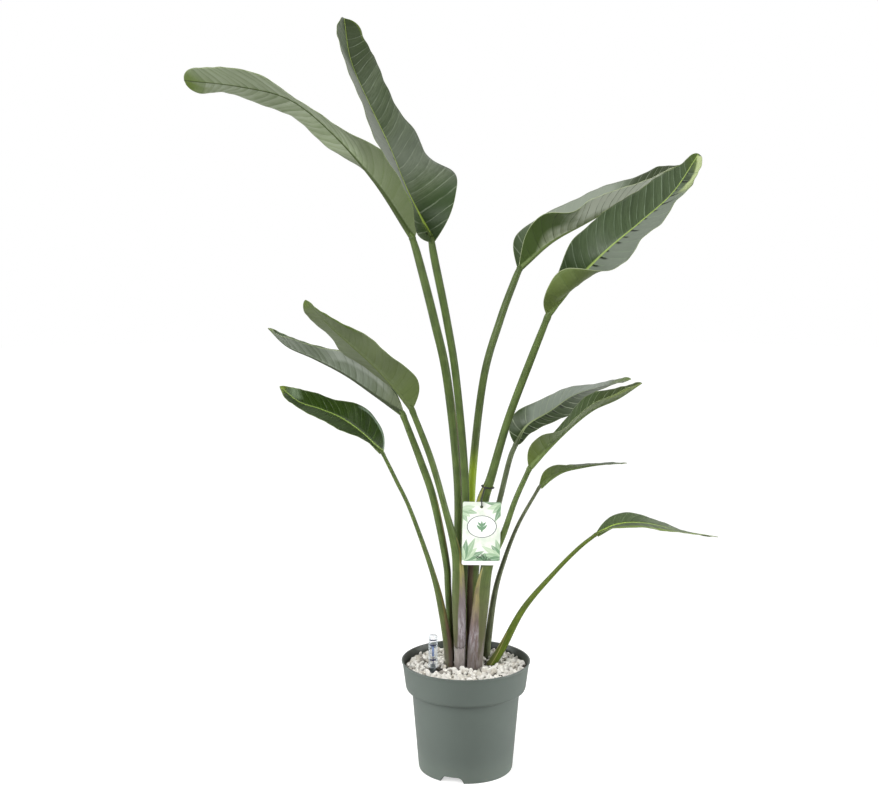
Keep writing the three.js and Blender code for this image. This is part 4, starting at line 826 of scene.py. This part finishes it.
def make_blade(leaf, rows):
    """Upper and under face of one blade as a thin shell, pleated along its lateral ribs."""
    rib = Midrib(leaf["rib"])
    even = np.linspace(0, 1, rows)
    u = 0.75 * even + 0.25 * (1 - np.cos(np.pi * even)) / 2
    mean = sum(leaf["width"]) / 2 * taper(u, *leaf["shape"])
    keel = np.minimum(KEEL - KEEL_LOSS * u, 0.35 * mean)
    halves = []
    for side in (0, 1):
        reach = half_width(leaf, u, side)
        inner = [keel * k / KEEL_STEPS for k in range(KEEL_STEPS + 1)]
        outer = [keel + (reach - keel) * k / OUTER_STEPS for k in range(1, OUTER_STEPS + 1)]
        halves.append([(blade_points(leaf, rib, u, distance / reach, side), distance / reach, distance,
                        reach - distance, np.full(rows, 2 * side - 1)) for distance in inner + outer])
    ordered = halves[0][:0:-1] + halves[1]
    points, v, distance, rim, sign = (np.stack(layer, axis=1) for layer in zip(*ordered))
    normal = unit(np.cross(np.gradient(points, axis=1), np.gradient(points, axis=0)))
    uu = np.broadcast_to(u[:, None], v.shape)
    phase = leaf["ribs"] * (uu + 0.006 * np.sin(23 * uu) + 0.004 * np.sin(61 * uu + 2))
    pleat = PLEAT * (leaf["width"][0] / 70) ** 0.5 * (np.abs(np.sin(np.pi * phase)) ** 0.7 - 0.6)
    pleat = pleat * fade_ends(uu, 0.06, 0.08) * np.sin(np.pi * np.clip(v, 0, 1)) ** 0.6
    crest = np.cos(np.pi / 2 * np.clip(distance / keel[:, None], 0, 1))
    slimmer = 1 - 0.6 * uu
    upper = points + normal * (pleat - GROOVE * crest * slimmer)[..., None]
    depth = THIN + THICKER * (1 - v) * slimmer + (RIDGE * (1 - uu) + TIP_RIDGE) * crest
    under = points + normal * (pleat - depth)[..., None]
    at = np.stack([phase, distance * sign, rim], axis=-1).reshape(-1, 3)
    uv = np.stack([uu * 0.98 + 0.01, 0.25 + 0.24 * v * sign], axis=-1).reshape(-1, 2)
    # The underside, margins and ends are one sheet, so that the shell is closed.
    count = v.size
    index = np.arange(count).reshape(v.shape)
    border = np.concatenate([index[0], index[1:, -1], index[-1, -2::-1], index[-2:0:-1, 0]]).tolist()
    top = grid_faces(*v.shape)
    faces = [tuple(index + count for index in face) for face in grid_faces(*v.shape, flip=True)]
    faces += [(b, a, a + count, b + count) for a, b in zip(border, border[1:] + border[:1])]
    return {"points": np.concatenate([upper.reshape(-1, 3), under.reshape(-1, 3)]),
            "faces": top + faces,
            "numbers": [0] * len(top) + [1] * len(faces),
            "blade_at": np.concatenate([at, at]),
            "blade_share": np.tile(uu.reshape(-1), 2),
            "uv": np.concatenate([uv, uv + [0, 0.5]])}


# Stalks.

def sheath_rim(number, rings, angle):
    """Distance in mm from the sheath's margin over the stalk's surface, negative inside the opening."""
    toward, half, top = SHEATHS[number]
    height = rings[:, 2:3]
    rise = np.clip((height - 150) / (top - 150), 0, 1)
    turn = np.abs((np.degrees(angle) - toward + 180) % 360 - 180)
    radius = (rings[:, 3:4] + rings[:, 4:5]) / 2
    rim = np.radians(turn - half * (1 - rise ** 1.7)) * radius
    return rim + np.maximum(height - top, 0) * 0.5


def make_stalk(number, leaf):
    """A stalk from foot to neck, which runs on as a slim keel under the blade."""
    rib = Midrib(leaf["rib"])
    share = np.sin(np.linspace(0, np.pi / 2, STALK_STEPS))
    body = smooth(leaf["stalk"], share)
    body[:, 3:] *= (1 + 0.13 * np.exp(-((share - 0.988) / 0.009) ** 2))[:, None]
    run = np.arange(4.0, 40.0, 4.0)
    share = run / rib.length
    point, direction = rib.at(run)
    left, right = (unit(blade_points(leaf, rib, share, np.full_like(share, 0.3), side) - point)
                   for side in (0, 1))
    under = unit(np.cross(direction, right - left))
    sunk = point + under * np.interp(run, [0, 16, 36], [0.8, 2.2, 2.4])[:, None]
    size = body[-1, 3] * np.interp(run, [0, 16, 36], [0.95, 0.6, 0.3])
    rings = np.concatenate([body, np.column_stack([sunk, size, size])])
    centres = rings[:, :3]
    direction = unit(np.gradient(centres, axis=0))
    wide = unit(np.cross([0, 1.0, 0], direction))
    deep = np.cross(direction, wide)
    angle = turns(STALK_SIDES)
    rim = sheath_rim(number, rings, angle)
    swell = 1 + 0.012 * np.sin(3 * angle)[None, :] * np.sin(np.arange(len(rings)) * 0.21)[:, None]
    swell = swell - 0.07 * np.clip(0.5 - rim / 1.6, 0, 1)
    across = rings[:, 3:4] * np.cos(angle) * swell
    back = rings[:, 4:5] * np.sin(angle) * swell
    points = centres[:, None] + across[..., None] * wide[:, None] + back[..., None] * deep[:, None]
    faces = grid_faces(len(rings), STALK_SIDES, closed=True) + tube_ends(len(rings), STALK_SIDES)
    run = np.concatenate([[0], np.cumsum(np.linalg.norm(np.diff(centres, axis=0), axis=1))])
    at = np.stack([across, back, np.broadcast_to(centres[:, 2:3], across.shape)], axis=-1)
    uv = np.stack([np.broadcast_to(run[:, None] / run[-1], across.shape) * 0.98 + 0.01,
                   np.broadcast_to(0.51 + 0.23 * angle / 2 / np.pi, across.shape)], axis=-1)
    return {"points": points.reshape(-1, 3), "faces": faces, "numbers": [2] * len(faces),
            "stalk_at": at.reshape(-1, 3), "stalk_rim": rim.reshape(-1), "uv": uv.reshape(-1, 2)}


def make_leaf(number, leaf):
    name = f"leaf_{number:02d}"
    looks = LOOKS[number]
    materials = [blade_material(name + "_upper_face", **{**UPPER, **looks.get("upper", {})}),
                 blade_material(name + "_underside", **{**UNDER, **looks.get("under", {})}),
                 stalk_material(name + "_stalk", top=SHEATHS[number][2],
                                **{**STALK, **looks.get("stalk", {})})]
    rows = LARGE_ROWS if number in LARGE_BLADES else SMALL_ROWS
    build(name + "_living", [make_blade(leaf, rows), make_stalk(number, leaf)], materials, "leaf", name)


# The pot.

POT_OUTSIDE = [(FOOT_RADIUS - 1, 0), (FOOT_RADIUS, 3), (92.5, COLLAR_FOOT - 2), (97, COLLAR_FOOT - 1.5),
               (101.5, COLLAR_FOOT), (102.9, COLLAR_FOOT + 3.5), (RIM_RADIUS - 1.5, POT_HEIGHT - 3),
               (RIM_RADIUS, POT_HEIGHT - 2), (RIM_RADIUS, POT_HEIGHT)]
POT_INSIDE = [(RIM_RADIUS - 3, POT_HEIGHT), (101, COLLAR_FOOT + 4), (98.2, COLLAR_FOOT + 0.4),
              (90.4, COLLAR_FOOT - 1.8), (79.2, 6), (76, FLOOR_THICKNESS)]


def prism(outline, low, high, heading):
    """An outline of [across, up] pairs, drawn out along a heading from one distance to another."""
    turn = math.radians(heading)
    along = np.array([math.cos(turn), math.sin(turn), 0])
    aside = np.array([-math.sin(turn), math.cos(turn), 0])
    points = [along * distance + aside * across + np.array([0, 0, up])
              for distance in (low, high) for across, up in outline]
    count = len(outline)
    return {"points": np.array(points),
            "faces": grid_faces(2, count, closed=True) + tube_ends(2, count)}


def arch(swell):
    wide = CHANNEL_WIDTH / 2 + swell
    high = CHANNEL_HEIGHT + swell
    side = [(wide, -1), (wide, 0), (wide - 0.9, high * 0.3), (wide - 2.2, high * 0.55),
            (wide - 4, high * 0.76), (wide - 6.3, high * 0.92), (wide - 9, high)]
    return side + [(-across, up) for across, up in side[::-1]]


def cut(target, tool, operation):
    change = target.modifiers.new("cut", "BOOLEAN")
    change.object = tool
    change.operation = operation
    change.solver = "MANIFOLD"
    graph = bpy.context.evaluated_depsgraph_get()
    mesh = bpy.data.meshes.new_from_object(target.evaluated_get(graph))
    target.modifiers.clear()
    target.data = mesh
    bpy.data.objects.remove(tool)


def make_pot():
    s = Surface("pot_sage_plastic")
    parts = s.speckle(7.0, 1400.0)
    x, y, z = s.split(s.spot())
    colour = s.blend(parts["Broad"], paint(84, 93, 87), paint(79, 88, 82))
    # Painted light: the pot is lighter in its lowest 50 mm, as if lit from the floor.
    colour = s.cover(colour, (116, 126, 116), s.ease(z, 0.05, 0.0), 0.25)
    # The inner wall above the granules is in its own shade.
    wide, high = POT_INSIDE[1]
    middle = s.scaled(z, WALL_SLOPE, (wide - WALL_SLOPE * (high - 0.5) + WALL_HALF) * MM)
    within = s.ease(s.calc("SUBTRACT", s.length(s.join(x, y)), middle), 0.0004, -0.0004)
    colour = s.cover(colour, (50, 56, 48), within, s.ease(z, 0.150, 0.156), 0.85)
    s.feed("Base Color", colour)
    s.feed("Roughness", s.scaled(parts["Broad"], 0.1, 0.42))
    s.bump(parts["Grain"], 0.00015, 0.35)

    def block(name, sheet):
        return make_object(name, [sheet], [s.material])

    shell = rounded([(0, 0)] + POT_OUTSIDE + POT_INSIDE + [(0, FLOOR_THICKNESS)], 1.4)[1:-1]
    pot = block("culture_pot", lathe([(0, 0)] + shell + [(0, FLOOR_THICKNESS)], POT_SIDES))
    filled = block("pot_filled", lathe([(0, 0)] + POT_OUTSIDE + [(0, POT_HEIGHT)], POT_SIDES))
    # The raised roofs of the channels, all three as one piece.
    roofs = [block("bed", prism(arch(CHANNEL_ROOF), CHANNEL_FROM - CHANNEL_ROOF, 88, heading))
             for heading in CHANNEL_HEADINGS]
    for roof in roofs[1:]:
        cut(roofs[0], roof, "UNION")
    cut(roofs[0], filled, "INTERSECT")
    cut(pot, roofs[0], "UNION")
    middle = (CHANNEL_FROM + FOOT_RADIUS) / 2
    for heading in CHANNEL_HEADINGS:
        turn = math.radians(heading)
        at = (middle * math.cos(turn), middle * math.sin(turn))
        cut(pot, block("channel", prism(arch(0), CHANNEL_FROM, 2 * FOOT_RADIUS, heading)), "DIFFERENCE")
        drain = lathe([(0, 2), (DRAIN_RADIUS, 2), (DRAIN_RADIUS, 20), (0, 20)], 32, at)
        cut(pot, block("drain", drain), "DIFFERENCE")
    for face in pot.data.polygons:
        face.use_smooth = True
    pot.data.set_sharp_from_angle(angle=math.radians(32))
    place(pot, "pot_plastic", "pot")


# Granules.

def pebble_shapes(draw):
    """Angular pebbles: a ball of 80 faces with a few planes cut off."""
    shapes = []
    for _ in range(PEBBLES):
        ball = bmesh.new()
        bmesh.ops.create_icosphere(ball, subdivisions=2, radius=1)
        points = np.array([vertex.co[:] for vertex in ball.verts])
        faces = [tuple(vertex.index for vertex in face.verts) for face in ball.faces]
        ball.free()
        for _ in range(PEBBLE_CUTS):
            normal = unit(draw.normal(size=3))
            limit = draw.uniform(0.5, 0.74)
            over = np.maximum(points @ normal - limit, 0)
            points = points - over[:, None] * normal
        shapes.append((points * 1.25, faces))
    return shapes


def random_turn(draw):
    first = unit(draw.normal(size=3))
    second = unit(np.cross(first, draw.normal(size=3)))
    return np.column_stack([first, second, np.cross(first, second)])


def make_granules():
    rng = random.Random(GRANULE_SEED)
    draw = np.random.default_rng(GRANULE_SEED)
    base = pebble_shapes(draw)
    levels = [smooth(leaf["stalk"], np.linspace(0, 0.5, 200)) for leaf in LEAVES.values()]
    stalks = [rows[np.argmin(np.abs(rows[:, 2] - GRANULE_LEVEL))] for rows in levels]

    def clear(x, y, size):
        """Whether a granule here keeps out of the wall, the gauge and the stalks."""
        if math.hypot(x, y) > BED_RADIUS - size * 0.5:
            return False
        if math.hypot(x - GAUGE_AT[0], y - GAUGE_AT[1]) < GAUGE_ROOM + size * 0.5:
            return False
        room = size * 0.45
        return all(math.hypot((x - ring[0]) / (ring[3] + room), (y - ring[1]) / (ring[4] + room)) >= 1
                   for ring in stalks)

    spots = []
    for level, spacing, wander in GRANULE_LAYERS:
        reach = int(RIM_RADIUS / spacing) + 2
        for row in range(-reach, reach + 1):
            for column in range(-reach, reach + 1):
                x = spacing * (column + 0.5 * (row % 2)) + rng.uniform(-wander, wander)
                y = spacing * 0.87 * row + rng.uniform(-wander, wander)
                size = rng.choice(GRANULE_SIZES)
                z = GRANULE_LEVEL + level + rng.uniform(-1.4, 1.6)
                if clear(x, y, size):
                    spots.append((x, y, z, size))
    sheets = []
    for *spot, size in spots:
        shape, faces = base[rng.randrange(len(base))]
        turn = random_turn(draw)
        stretch = np.array([1, rng.uniform(0.72, 1.0), rng.uniform(0.6, 0.9)]) * size / 2
        sheets.append({"points": (shape * stretch) @ turn.T + spot, "faces": faces,
                       "tone": np.full(len(shape), rng.random())})
    s = Surface("pale_mineral", Roughness=0.9)
    parts = s.speckle(160.0, 1500.0)
    tone = s.field("tone")
    colour = s.blend(parts["Broad"], paint(228, 226, 220), paint(210, 207, 199))
    colour = s.cover(colour, (186, 180, 168), s.ease(tone, 0.55, 1.0))
    s.feed("Base Color", s.cover(colour, (138, 134, 126), s.ease(tone, 0.94, 0.97)))
    s.bump(parts["Grain"], 0.0006, 0.7)
    build("mineral_granules", sheets, [s.material], "granules", sharp=26)
    # Painted shade: the bulk under the granules is dark, standing in for the shade in the gaps between them.
    s = Surface("mineral_bulk_painted_shade", Roughness=0.95)
    parts = s.speckle(130.0, 800.0)
    s.feed("Base Color", s.blend(parts["Broad"], paint(96, 90, 80), paint(70, 65, 56)))
    s.bump(parts["Broad"], 0.002, 0.8)
    dress("substrate", s.material)


# The water gauge.

MARKS = ((197.6, 200.2), (223.2, 225.6), (232.2, 234.2))
NAVY_BELOW = 200


def clear_plastic():
    s = Surface("clear_plastic", Roughness=0.08, IOR=1.45)
    mist = s.speckle(90.0, 1200.0)
    s.feed("Base Color", s.blend(mist["Broad"], paint(176, 184, 188), paint(196, 202, 206)))
    facing = s.add("ShaderNodeLayerWeight", {"Blend": 0.4})["Facing"]
    s.feed("Alpha", s.scaled(facing, 0.55, 0.05))
    s.bump(mist["Grain"], 0.00003, 0.3)
    return s.material


def make_gauge():
    foot, neck, top = GAUGE_FOOT, GAUGE_NECK, GAUGE_TOP
    outer = [(3.4, foot), (7, foot), (7, 164), (10.6, 168.5), (11.5, 170), (11.5, 173.5), (9.6, 175.2),
             (5, 177.2), (5, neck), (4.2, neck), (4.2, 189), (1.5, 189), (1.5, 165), (5.5, 160),
             (5.5, foot + 1.5), (3.4, foot + 1.5), (3.4, foot)]
    pipe = lathe(rounded(outer, 0.7, 3)[:-1], 48, GAUGE_AT, closed=True)
    slate = plastic("gauge_slate", (62, 70, 70), 0.45)
    build("gauge_pipe", [pipe], [slate], "gauge_plastic", "gauge_body", sharp=40)
    wall = [(4.5, neck + 0.3), (9, neck + 0.3), (9, 188.6), (7.8, 189.4), (7.8, top - 3), (5.4, top),
            (0, top)]
    lining = [(0, top - 1.2), (5.2, top - 1.2), (6.6, top - 3.4), (6.6, 190.4), (4.5, 189.4),
              (4.5, neck + 0.3)]
    cap = lathe(rounded(wall, 0.8, 3) + rounded(lining, 0.6, 3)[:-1], 64, GAUGE_AT, closed=True)
    build("gauge_cap", [cap], [clear_plastic()], "clear_plastic", "gauge_tube", sharp=50)
    blue = plastic("indicator_blue", (84, 108, 158), 0.4)
    navy = plastic("mark_navy", (26, 30, 66), 0.4)
    low = foot + 1.8
    stem = [(0, low), (4.9, low), (4.9, low + 40), (0.9, low + 44), (0.9, 203.5), (2, 203.5), (2, 221),
            (0, 221)]
    rod = build("gauge_indicator", [lathe(rounded(stem, 0.5, 3), 40, GAUGE_AT)], [blue, navy],
                "blue_plastic", "gauge_float", body="indicator", sharp=40)
    for face in rod.data.polygons:
        face.material_index = 1 if face.center[2] / MM < NAVY_BELOW else 0
    # Short bands on the front of the cap.
    marks = []
    for low, high in MARKS:
        band = lathe([(7.82, low), (7.95, low), (7.95, high), (7.82, high)], 64, GAUGE_AT, closed=True)
        band["faces"] = [face for face in band["faces"]
                         if np.mean([band["points"][index][1] for index in face]) < GAUGE_AT[1] - 5.4]
        marks.append(band)
    build("gauge_marks", marks, [navy], "gauge_plastic")


# The tag.

def make_printed_leaf():
    """One slim leaf shape on a printed card: 1 inside, 0 outside, and its middle line."""
    g = Group("printed_leaf", {"Across": 0.0, "Up": 0.0, "X": 0.0, "Y": 0.0, "Turn": 0.0, "Length": 20.0,
                               "Width": 4.0})
    x = g.calc("SUBTRACT", g.given["Across"], g.given["X"])
    y = g.calc("SUBTRACT", g.given["Up"], g.given["Y"])
    cosine = g.calc("COSINE", g.given["Turn"])
    sine = g.calc("SINE", g.given["Turn"])
    along = g.calc("ADD", g.times(x, cosine), g.times(y, sine))
    aside = g.size(g.calc("SUBTRACT", g.times(y, cosine), g.times(x, sine)))
    share = g.calc("DIVIDE", along, g.given["Length"])
    inside = g.times(g.calc("GREATER_THAN", share, 0.0), g.calc("LESS_THAN", share, 1.0))
    bow = g.calc("SINE", g.times(g.calc("POWER", g.size(share), 0.8), math.pi))
    reach = g.times(g.given["Width"], bow)
    return g.give(Inside=g.times(inside, g.calc("LESS_THAN", aside, reach)),
                  Vein=g.times(inside, g.calc("LESS_THAN", aside, 0.28)))


# The card's print. Fans of slim leaves: root, first heading, step, number, length and the colours in
# turn. The sign on the panel: root, heading, length and width of its leaves.
PALE, MIDDLE, DEEP, DARK = (186, 206, 176), (148, 178, 142), (104, 142, 106), (56, 78, 58)
FANS = (
    (-30, -46, 0.1, 0.34, 7, 44, (MIDDLE, DEEP, PALE)),
    (33, -42, 1.5, 0.36, 6, 40, (PALE, MIDDLE, DEEP)),
    (-36, 42, -1.5, 0.42, 5, 30, (PALE, MIDDLE)),
    (36, 50, 3.0, 0.42, 5, 34, (DEEP, PALE, MIDDLE)),
    (2, -47, 0.15, 0.4, 8, 15, (DARK, DEEP)),
)
SIGN = (
    (0, 2, 1.57, 21, 2.6), (0, 6, 2.35, 13, 2.2), (0, 6, 0.8, 13, 2.2), (0, 12, 2.3, 11, 1.9),
    (0, 12, 0.85, 11, 1.9),
)


def card_material():
    shape = make_printed_leaf()
    s = Surface("printed_card", Roughness=0.4)
    spot = s.split(s.spot())
    across = s.scaled(spot[0], 1000.0, -TAG_AT[0] - TAG_LEFT - TAG_SIZE[0] / 2)
    up = s.scaled(spot[2], 1000.0, -TAG_AT[2] - TAG_HOLE_DROP + TAG_SIZE[1] / 2)

    def draw(x, y, turn, length, width):
        return s.use(shape, {"Across": across, "Up": up, "X": x, "Y": y, "Turn": turn, "Length": length,
                             "Width": width})

    def squared(value, size):
        return s.calc("POWER", s.size(s.calc("DIVIDE", value, size)), 2.0)

    wash = s.noise(s.join(across, up), 0.05)
    colour = s.blend(s.ease(wash, 0.35, 0.65), paint(238, 240, 232), paint(212, 221, 206))
    for x, y, first, step, number, length, inks in FANS:
        for k in range(number):
            drawn = draw(x, y, first + k * step, length * (1 - 0.14 * (k % 3)), 3.0 + length * 0.05)
            colour = s.cover(colour, inks[k % len(inks)], drawn["Inside"], 0.9)
            colour = s.cover(colour, (222, 234, 214), drawn["Vein"], 0.6)
    # A plain oval panel in the middle with a thin line round it.
    oval = s.calc("SQRT", s.calc("ADD", squared(across, 25.0), squared(s.calc("SUBTRACT", up, 12.0), 19.0)))
    colour = s.cover(colour, (250, 251, 248), s.ease(oval, 1.0, 0.99))
    line = s.calc("LESS_THAN", s.size(s.calc("SUBTRACT", oval, 0.97)), 0.028)
    colour = s.cover(colour, (70, 84, 80), line)
    for row in SIGN:
        colour = s.cover(colour, (112, 150, 116), draw(*row)["Inside"])
    s.feed("Base Color", s.cover(colour, (244, 246, 242), s.calc("LESS_THAN", up, -47.0)))
    s.bump(s.speckle(30.0, 2400.0)["Grain"], 0.00005, 0.3)
    return s.material


def make_tag():
    """The card, a rounded sheet with a round hole; both outlines have the same number of points."""
    width, height, thickness = TAG_SIZE
    left, right = TAG_LEFT + TAG_CORNER, TAG_LEFT + width - TAG_CORNER
    top, bottom = TAG_HOLE_DROP - TAG_CORNER, TAG_HOLE_DROP - height + TAG_CORNER
    outline = []
    for x, z, first in ((right, top, 0), (left, top, 90), (left, bottom, 180), (right, bottom, 270)):
        for angle in np.radians(first + 15 * np.arange(7)):
            outline.append((x + TAG_CORNER * math.cos(angle), z + TAG_CORNER * math.sin(angle)))
    count = len(outline)
    hole = [(TAG_HOLE * math.cos(a), TAG_HOLE * math.sin(a)) for a in turns(count)]
    points = [(x, y, z) for y in (-thickness / 2, thickness / 2) for x, z in outline + hole]
    whole = 2 * count
    faces = []
    for k in range(count):
        n = (k + 1) % count
        faces += [(k, k + count, n + count, n), (whole + k, whole + n, whole + n + count, whole + k + count),
                  (k, n, n + whole, k + whole), (k + count, k + count + whole, n + count + whole, n + count)]
    tilt = math.radians(TAG_TILT)
    cosine, sine = math.cos(tilt), math.sin(tilt)
    turned = [(x * cosine + z * sine, y, z * cosine - x * sine) for x, y, z in points]
    sheet = {"points": np.array(turned) + TAG_AT, "faces": faces}
    build("hang_tag", [sheet], [card_material()], "card", "tag_card", smooth=False)


def tube(centres, closed, radius=WIRE, sides=12):
    count = len(centres)
    points = []
    for i, centre in enumerate(centres):
        after = centres[(i + 1) % count] if closed or i < count - 1 else centre
        before = centres[i - 1] if closed or i > 0 else centre
        direction = unit(after - before)
        wide = unit(np.cross(direction, [1.0, 0.0, 0.3]))
        deep = np.cross(direction, wide)
        points += [centre + radius * (math.cos(a) * wide + math.sin(a) * deep) for a in turns(sides)]
    faces = grid_faces(count, sides, closed=True)
    if closed:
        last = (count - 1) * sides
        faces += [(last + k, last + (k + 1) % sides, (k + 1) % sides, k) for k in range(sides)]
    else:
        faces += tube_ends(count, sides)
    return {"points": np.array(points), "faces": faces}


def make_loop():
    """A band round the stalk of leaf 4, a ring through the card's hole and a strand between them."""
    at, ahead = smooth(LEAVES[4]["stalk"], LOOP_SHARES)
    # The band hangs half level.
    direction = unit(unit(ahead[:3] - at[:3]) + [0, 0, 1])
    wide = unit(np.cross([0, 1.0, 0], direction))
    deep = np.cross(direction, wide)
    room = WIRE + 1

    def on_band(angle):
        return at[:3] + wide * (at[3] + room) * math.cos(angle) + deep * (at[4] + room) * math.sin(angle)

    x, y, _ = TAG_AT
    foot = TAG_AT[2] + TAG_HOLE - WIRE - 0.3
    band = np.array([on_band(a) for a in turns(40)])
    ring = np.array([(x, y + RING * math.sin(a), foot + RING - RING * math.cos(a)) for a in turns(32)])
    start = on_band(math.radians(-120))
    end = np.array([x, y, foot + 2 * RING])
    middle = start * [0.4, 0.4, 0.45] + end * [0.6, 0.6, 0.55] - [0, 1, 0]
    strand = smooth([start, middle, end], np.linspace(0, 1, 14))
    black = plastic("loop_black", (34, 34, 38), 0.5)
    build("tag_tie", [tube(band, True), tube(ring, True), tube(strand, False)], [black],
          "black_plastic", "tag_loop")


for number, leaf in LEAVES.items():
    make_leaf(number, leaf)
make_pot()
make_granules()
make_gauge()
make_tag()
make_loop()
dress("rhizome", plastic("root_flesh", (170, 142, 100), 0.7))


# Stage.

FLOOR_RADIUS = 9000
FLOOR_SIDES = 48
# Place, aim, size in metres, power in watts and spread in degrees.
LAMPS = {
    "key": ((-1500, -2300, 2300), (0, 0, 650), 1.8, 92, 180),
    "fill": ((1900, -1900, 1500), (0, 0, 600), 2.2, 18, 180),
    "top": ((0, 100, 3000), (0, 0, 500), 2.4, 4, 180),
    "left": ((-1500, -250, 350), (0, 0, 90), 0.8, 1.7, 50),
    "right": ((1500, -250, 350), (0, 0, 90), 0.8, 2.5, 50),
}
CAMERA_AT = (-0.0451, -2.1917, 0.916)
CAMERA_PITCH = -0.1264
LENS = 54.13
SENSOR = 36


def make_floor():
    """A pale floor, open on every side, that turns white for the camera further out."""
    s = Surface("studio_floor", Roughness=0.9)
    spot = s.spot()
    seen = s.camera_ray()
    far = s.times(s.ease(s.length(spot), 0.9, 2.6), seen)
    pale = s.blend(s.noise(spot, 2.0), paint(200, 200, 199), paint(196, 196, 195))
    s.feed("Base Color", s.cover(pale, (40, 40, 40), far))
    back = s.ease(s.split(spot)[1], 0.4, 1.6)
    bright = s.scaled(far, 0.4, s.times(seen, 0.6))
    s.feed("Emission Strength", s.calc("MAXIMUM", bright, s.times(back, 0.6)))
    s.feed("Emission Color", (1, 1, 1, 1))
    points = [(FLOOR_RADIUS * math.cos(a), FLOOR_RADIUS * math.sin(a), 0) for a in turns(FLOOR_SIDES)]
    sheet = {"points": np.array(points), "faces": [tuple(range(FLOOR_SIDES))]}
    make_object("studio_floor", [sheet], [s.material])


def make_lamps():
    for title, (spot, aim, size, power, spread) in LAMPS.items():
        light = bpy.data.lights.new(title, "AREA")
        light.size = size
        light.energy = power
        light.spread = math.radians(spread)
        lamp = add_object(title, light)
        lamp.location = np.array(spot) * MM
        lamp.rotation_euler = (Vector(aim) - Vector(spot)).to_track_quat("-Z", "Y").to_euler()


def make_world():
    """White for the camera. Otherwise bright behind, above and at both sides, and dark in front."""
    world = bpy.data.worlds.new("studio")
    world.use_nodes = True
    w = Nodes(world.node_tree)
    background = w.tree.nodes["Background"]
    x, y, z = w.split(w.spot("Generated"))
    above = w.times(w.ease(z, 0.15, 0.9), 0.34)
    around = w.calc("MAXIMUM", w.calc("MAXIMUM", w.ease(y, -0.3, 0.6), above), w.ease(w.size(x), 0.5, 0.95))
    lit = w.scaled(around, 0.88, 0.06)
    w.connect(background.inputs["Strength"], w.calc("MAXIMUM", lit, w.camera_ray()))
    w.connect(background.inputs["Color"], (1, 1, 1, 1))
    bpy.context.scene.world = world


def make_camera():
    camera = bpy.data.cameras.new("camera")
    camera.lens = LENS
    camera.sensor_width = SENSOR
    camera.sensor_fit = "HORIZONTAL"
    holder = add_object("camera", camera)
    holder.location = CAMERA_AT
    holder.rotation_euler = (math.pi / 2 + CAMERA_PITCH, 0, 0)
    bpy.context.scene.camera = holder
    bpy.context.scene.view_settings.view_transform = "Standard"


make_floor()
make_lamps()
make_world()
make_camera()
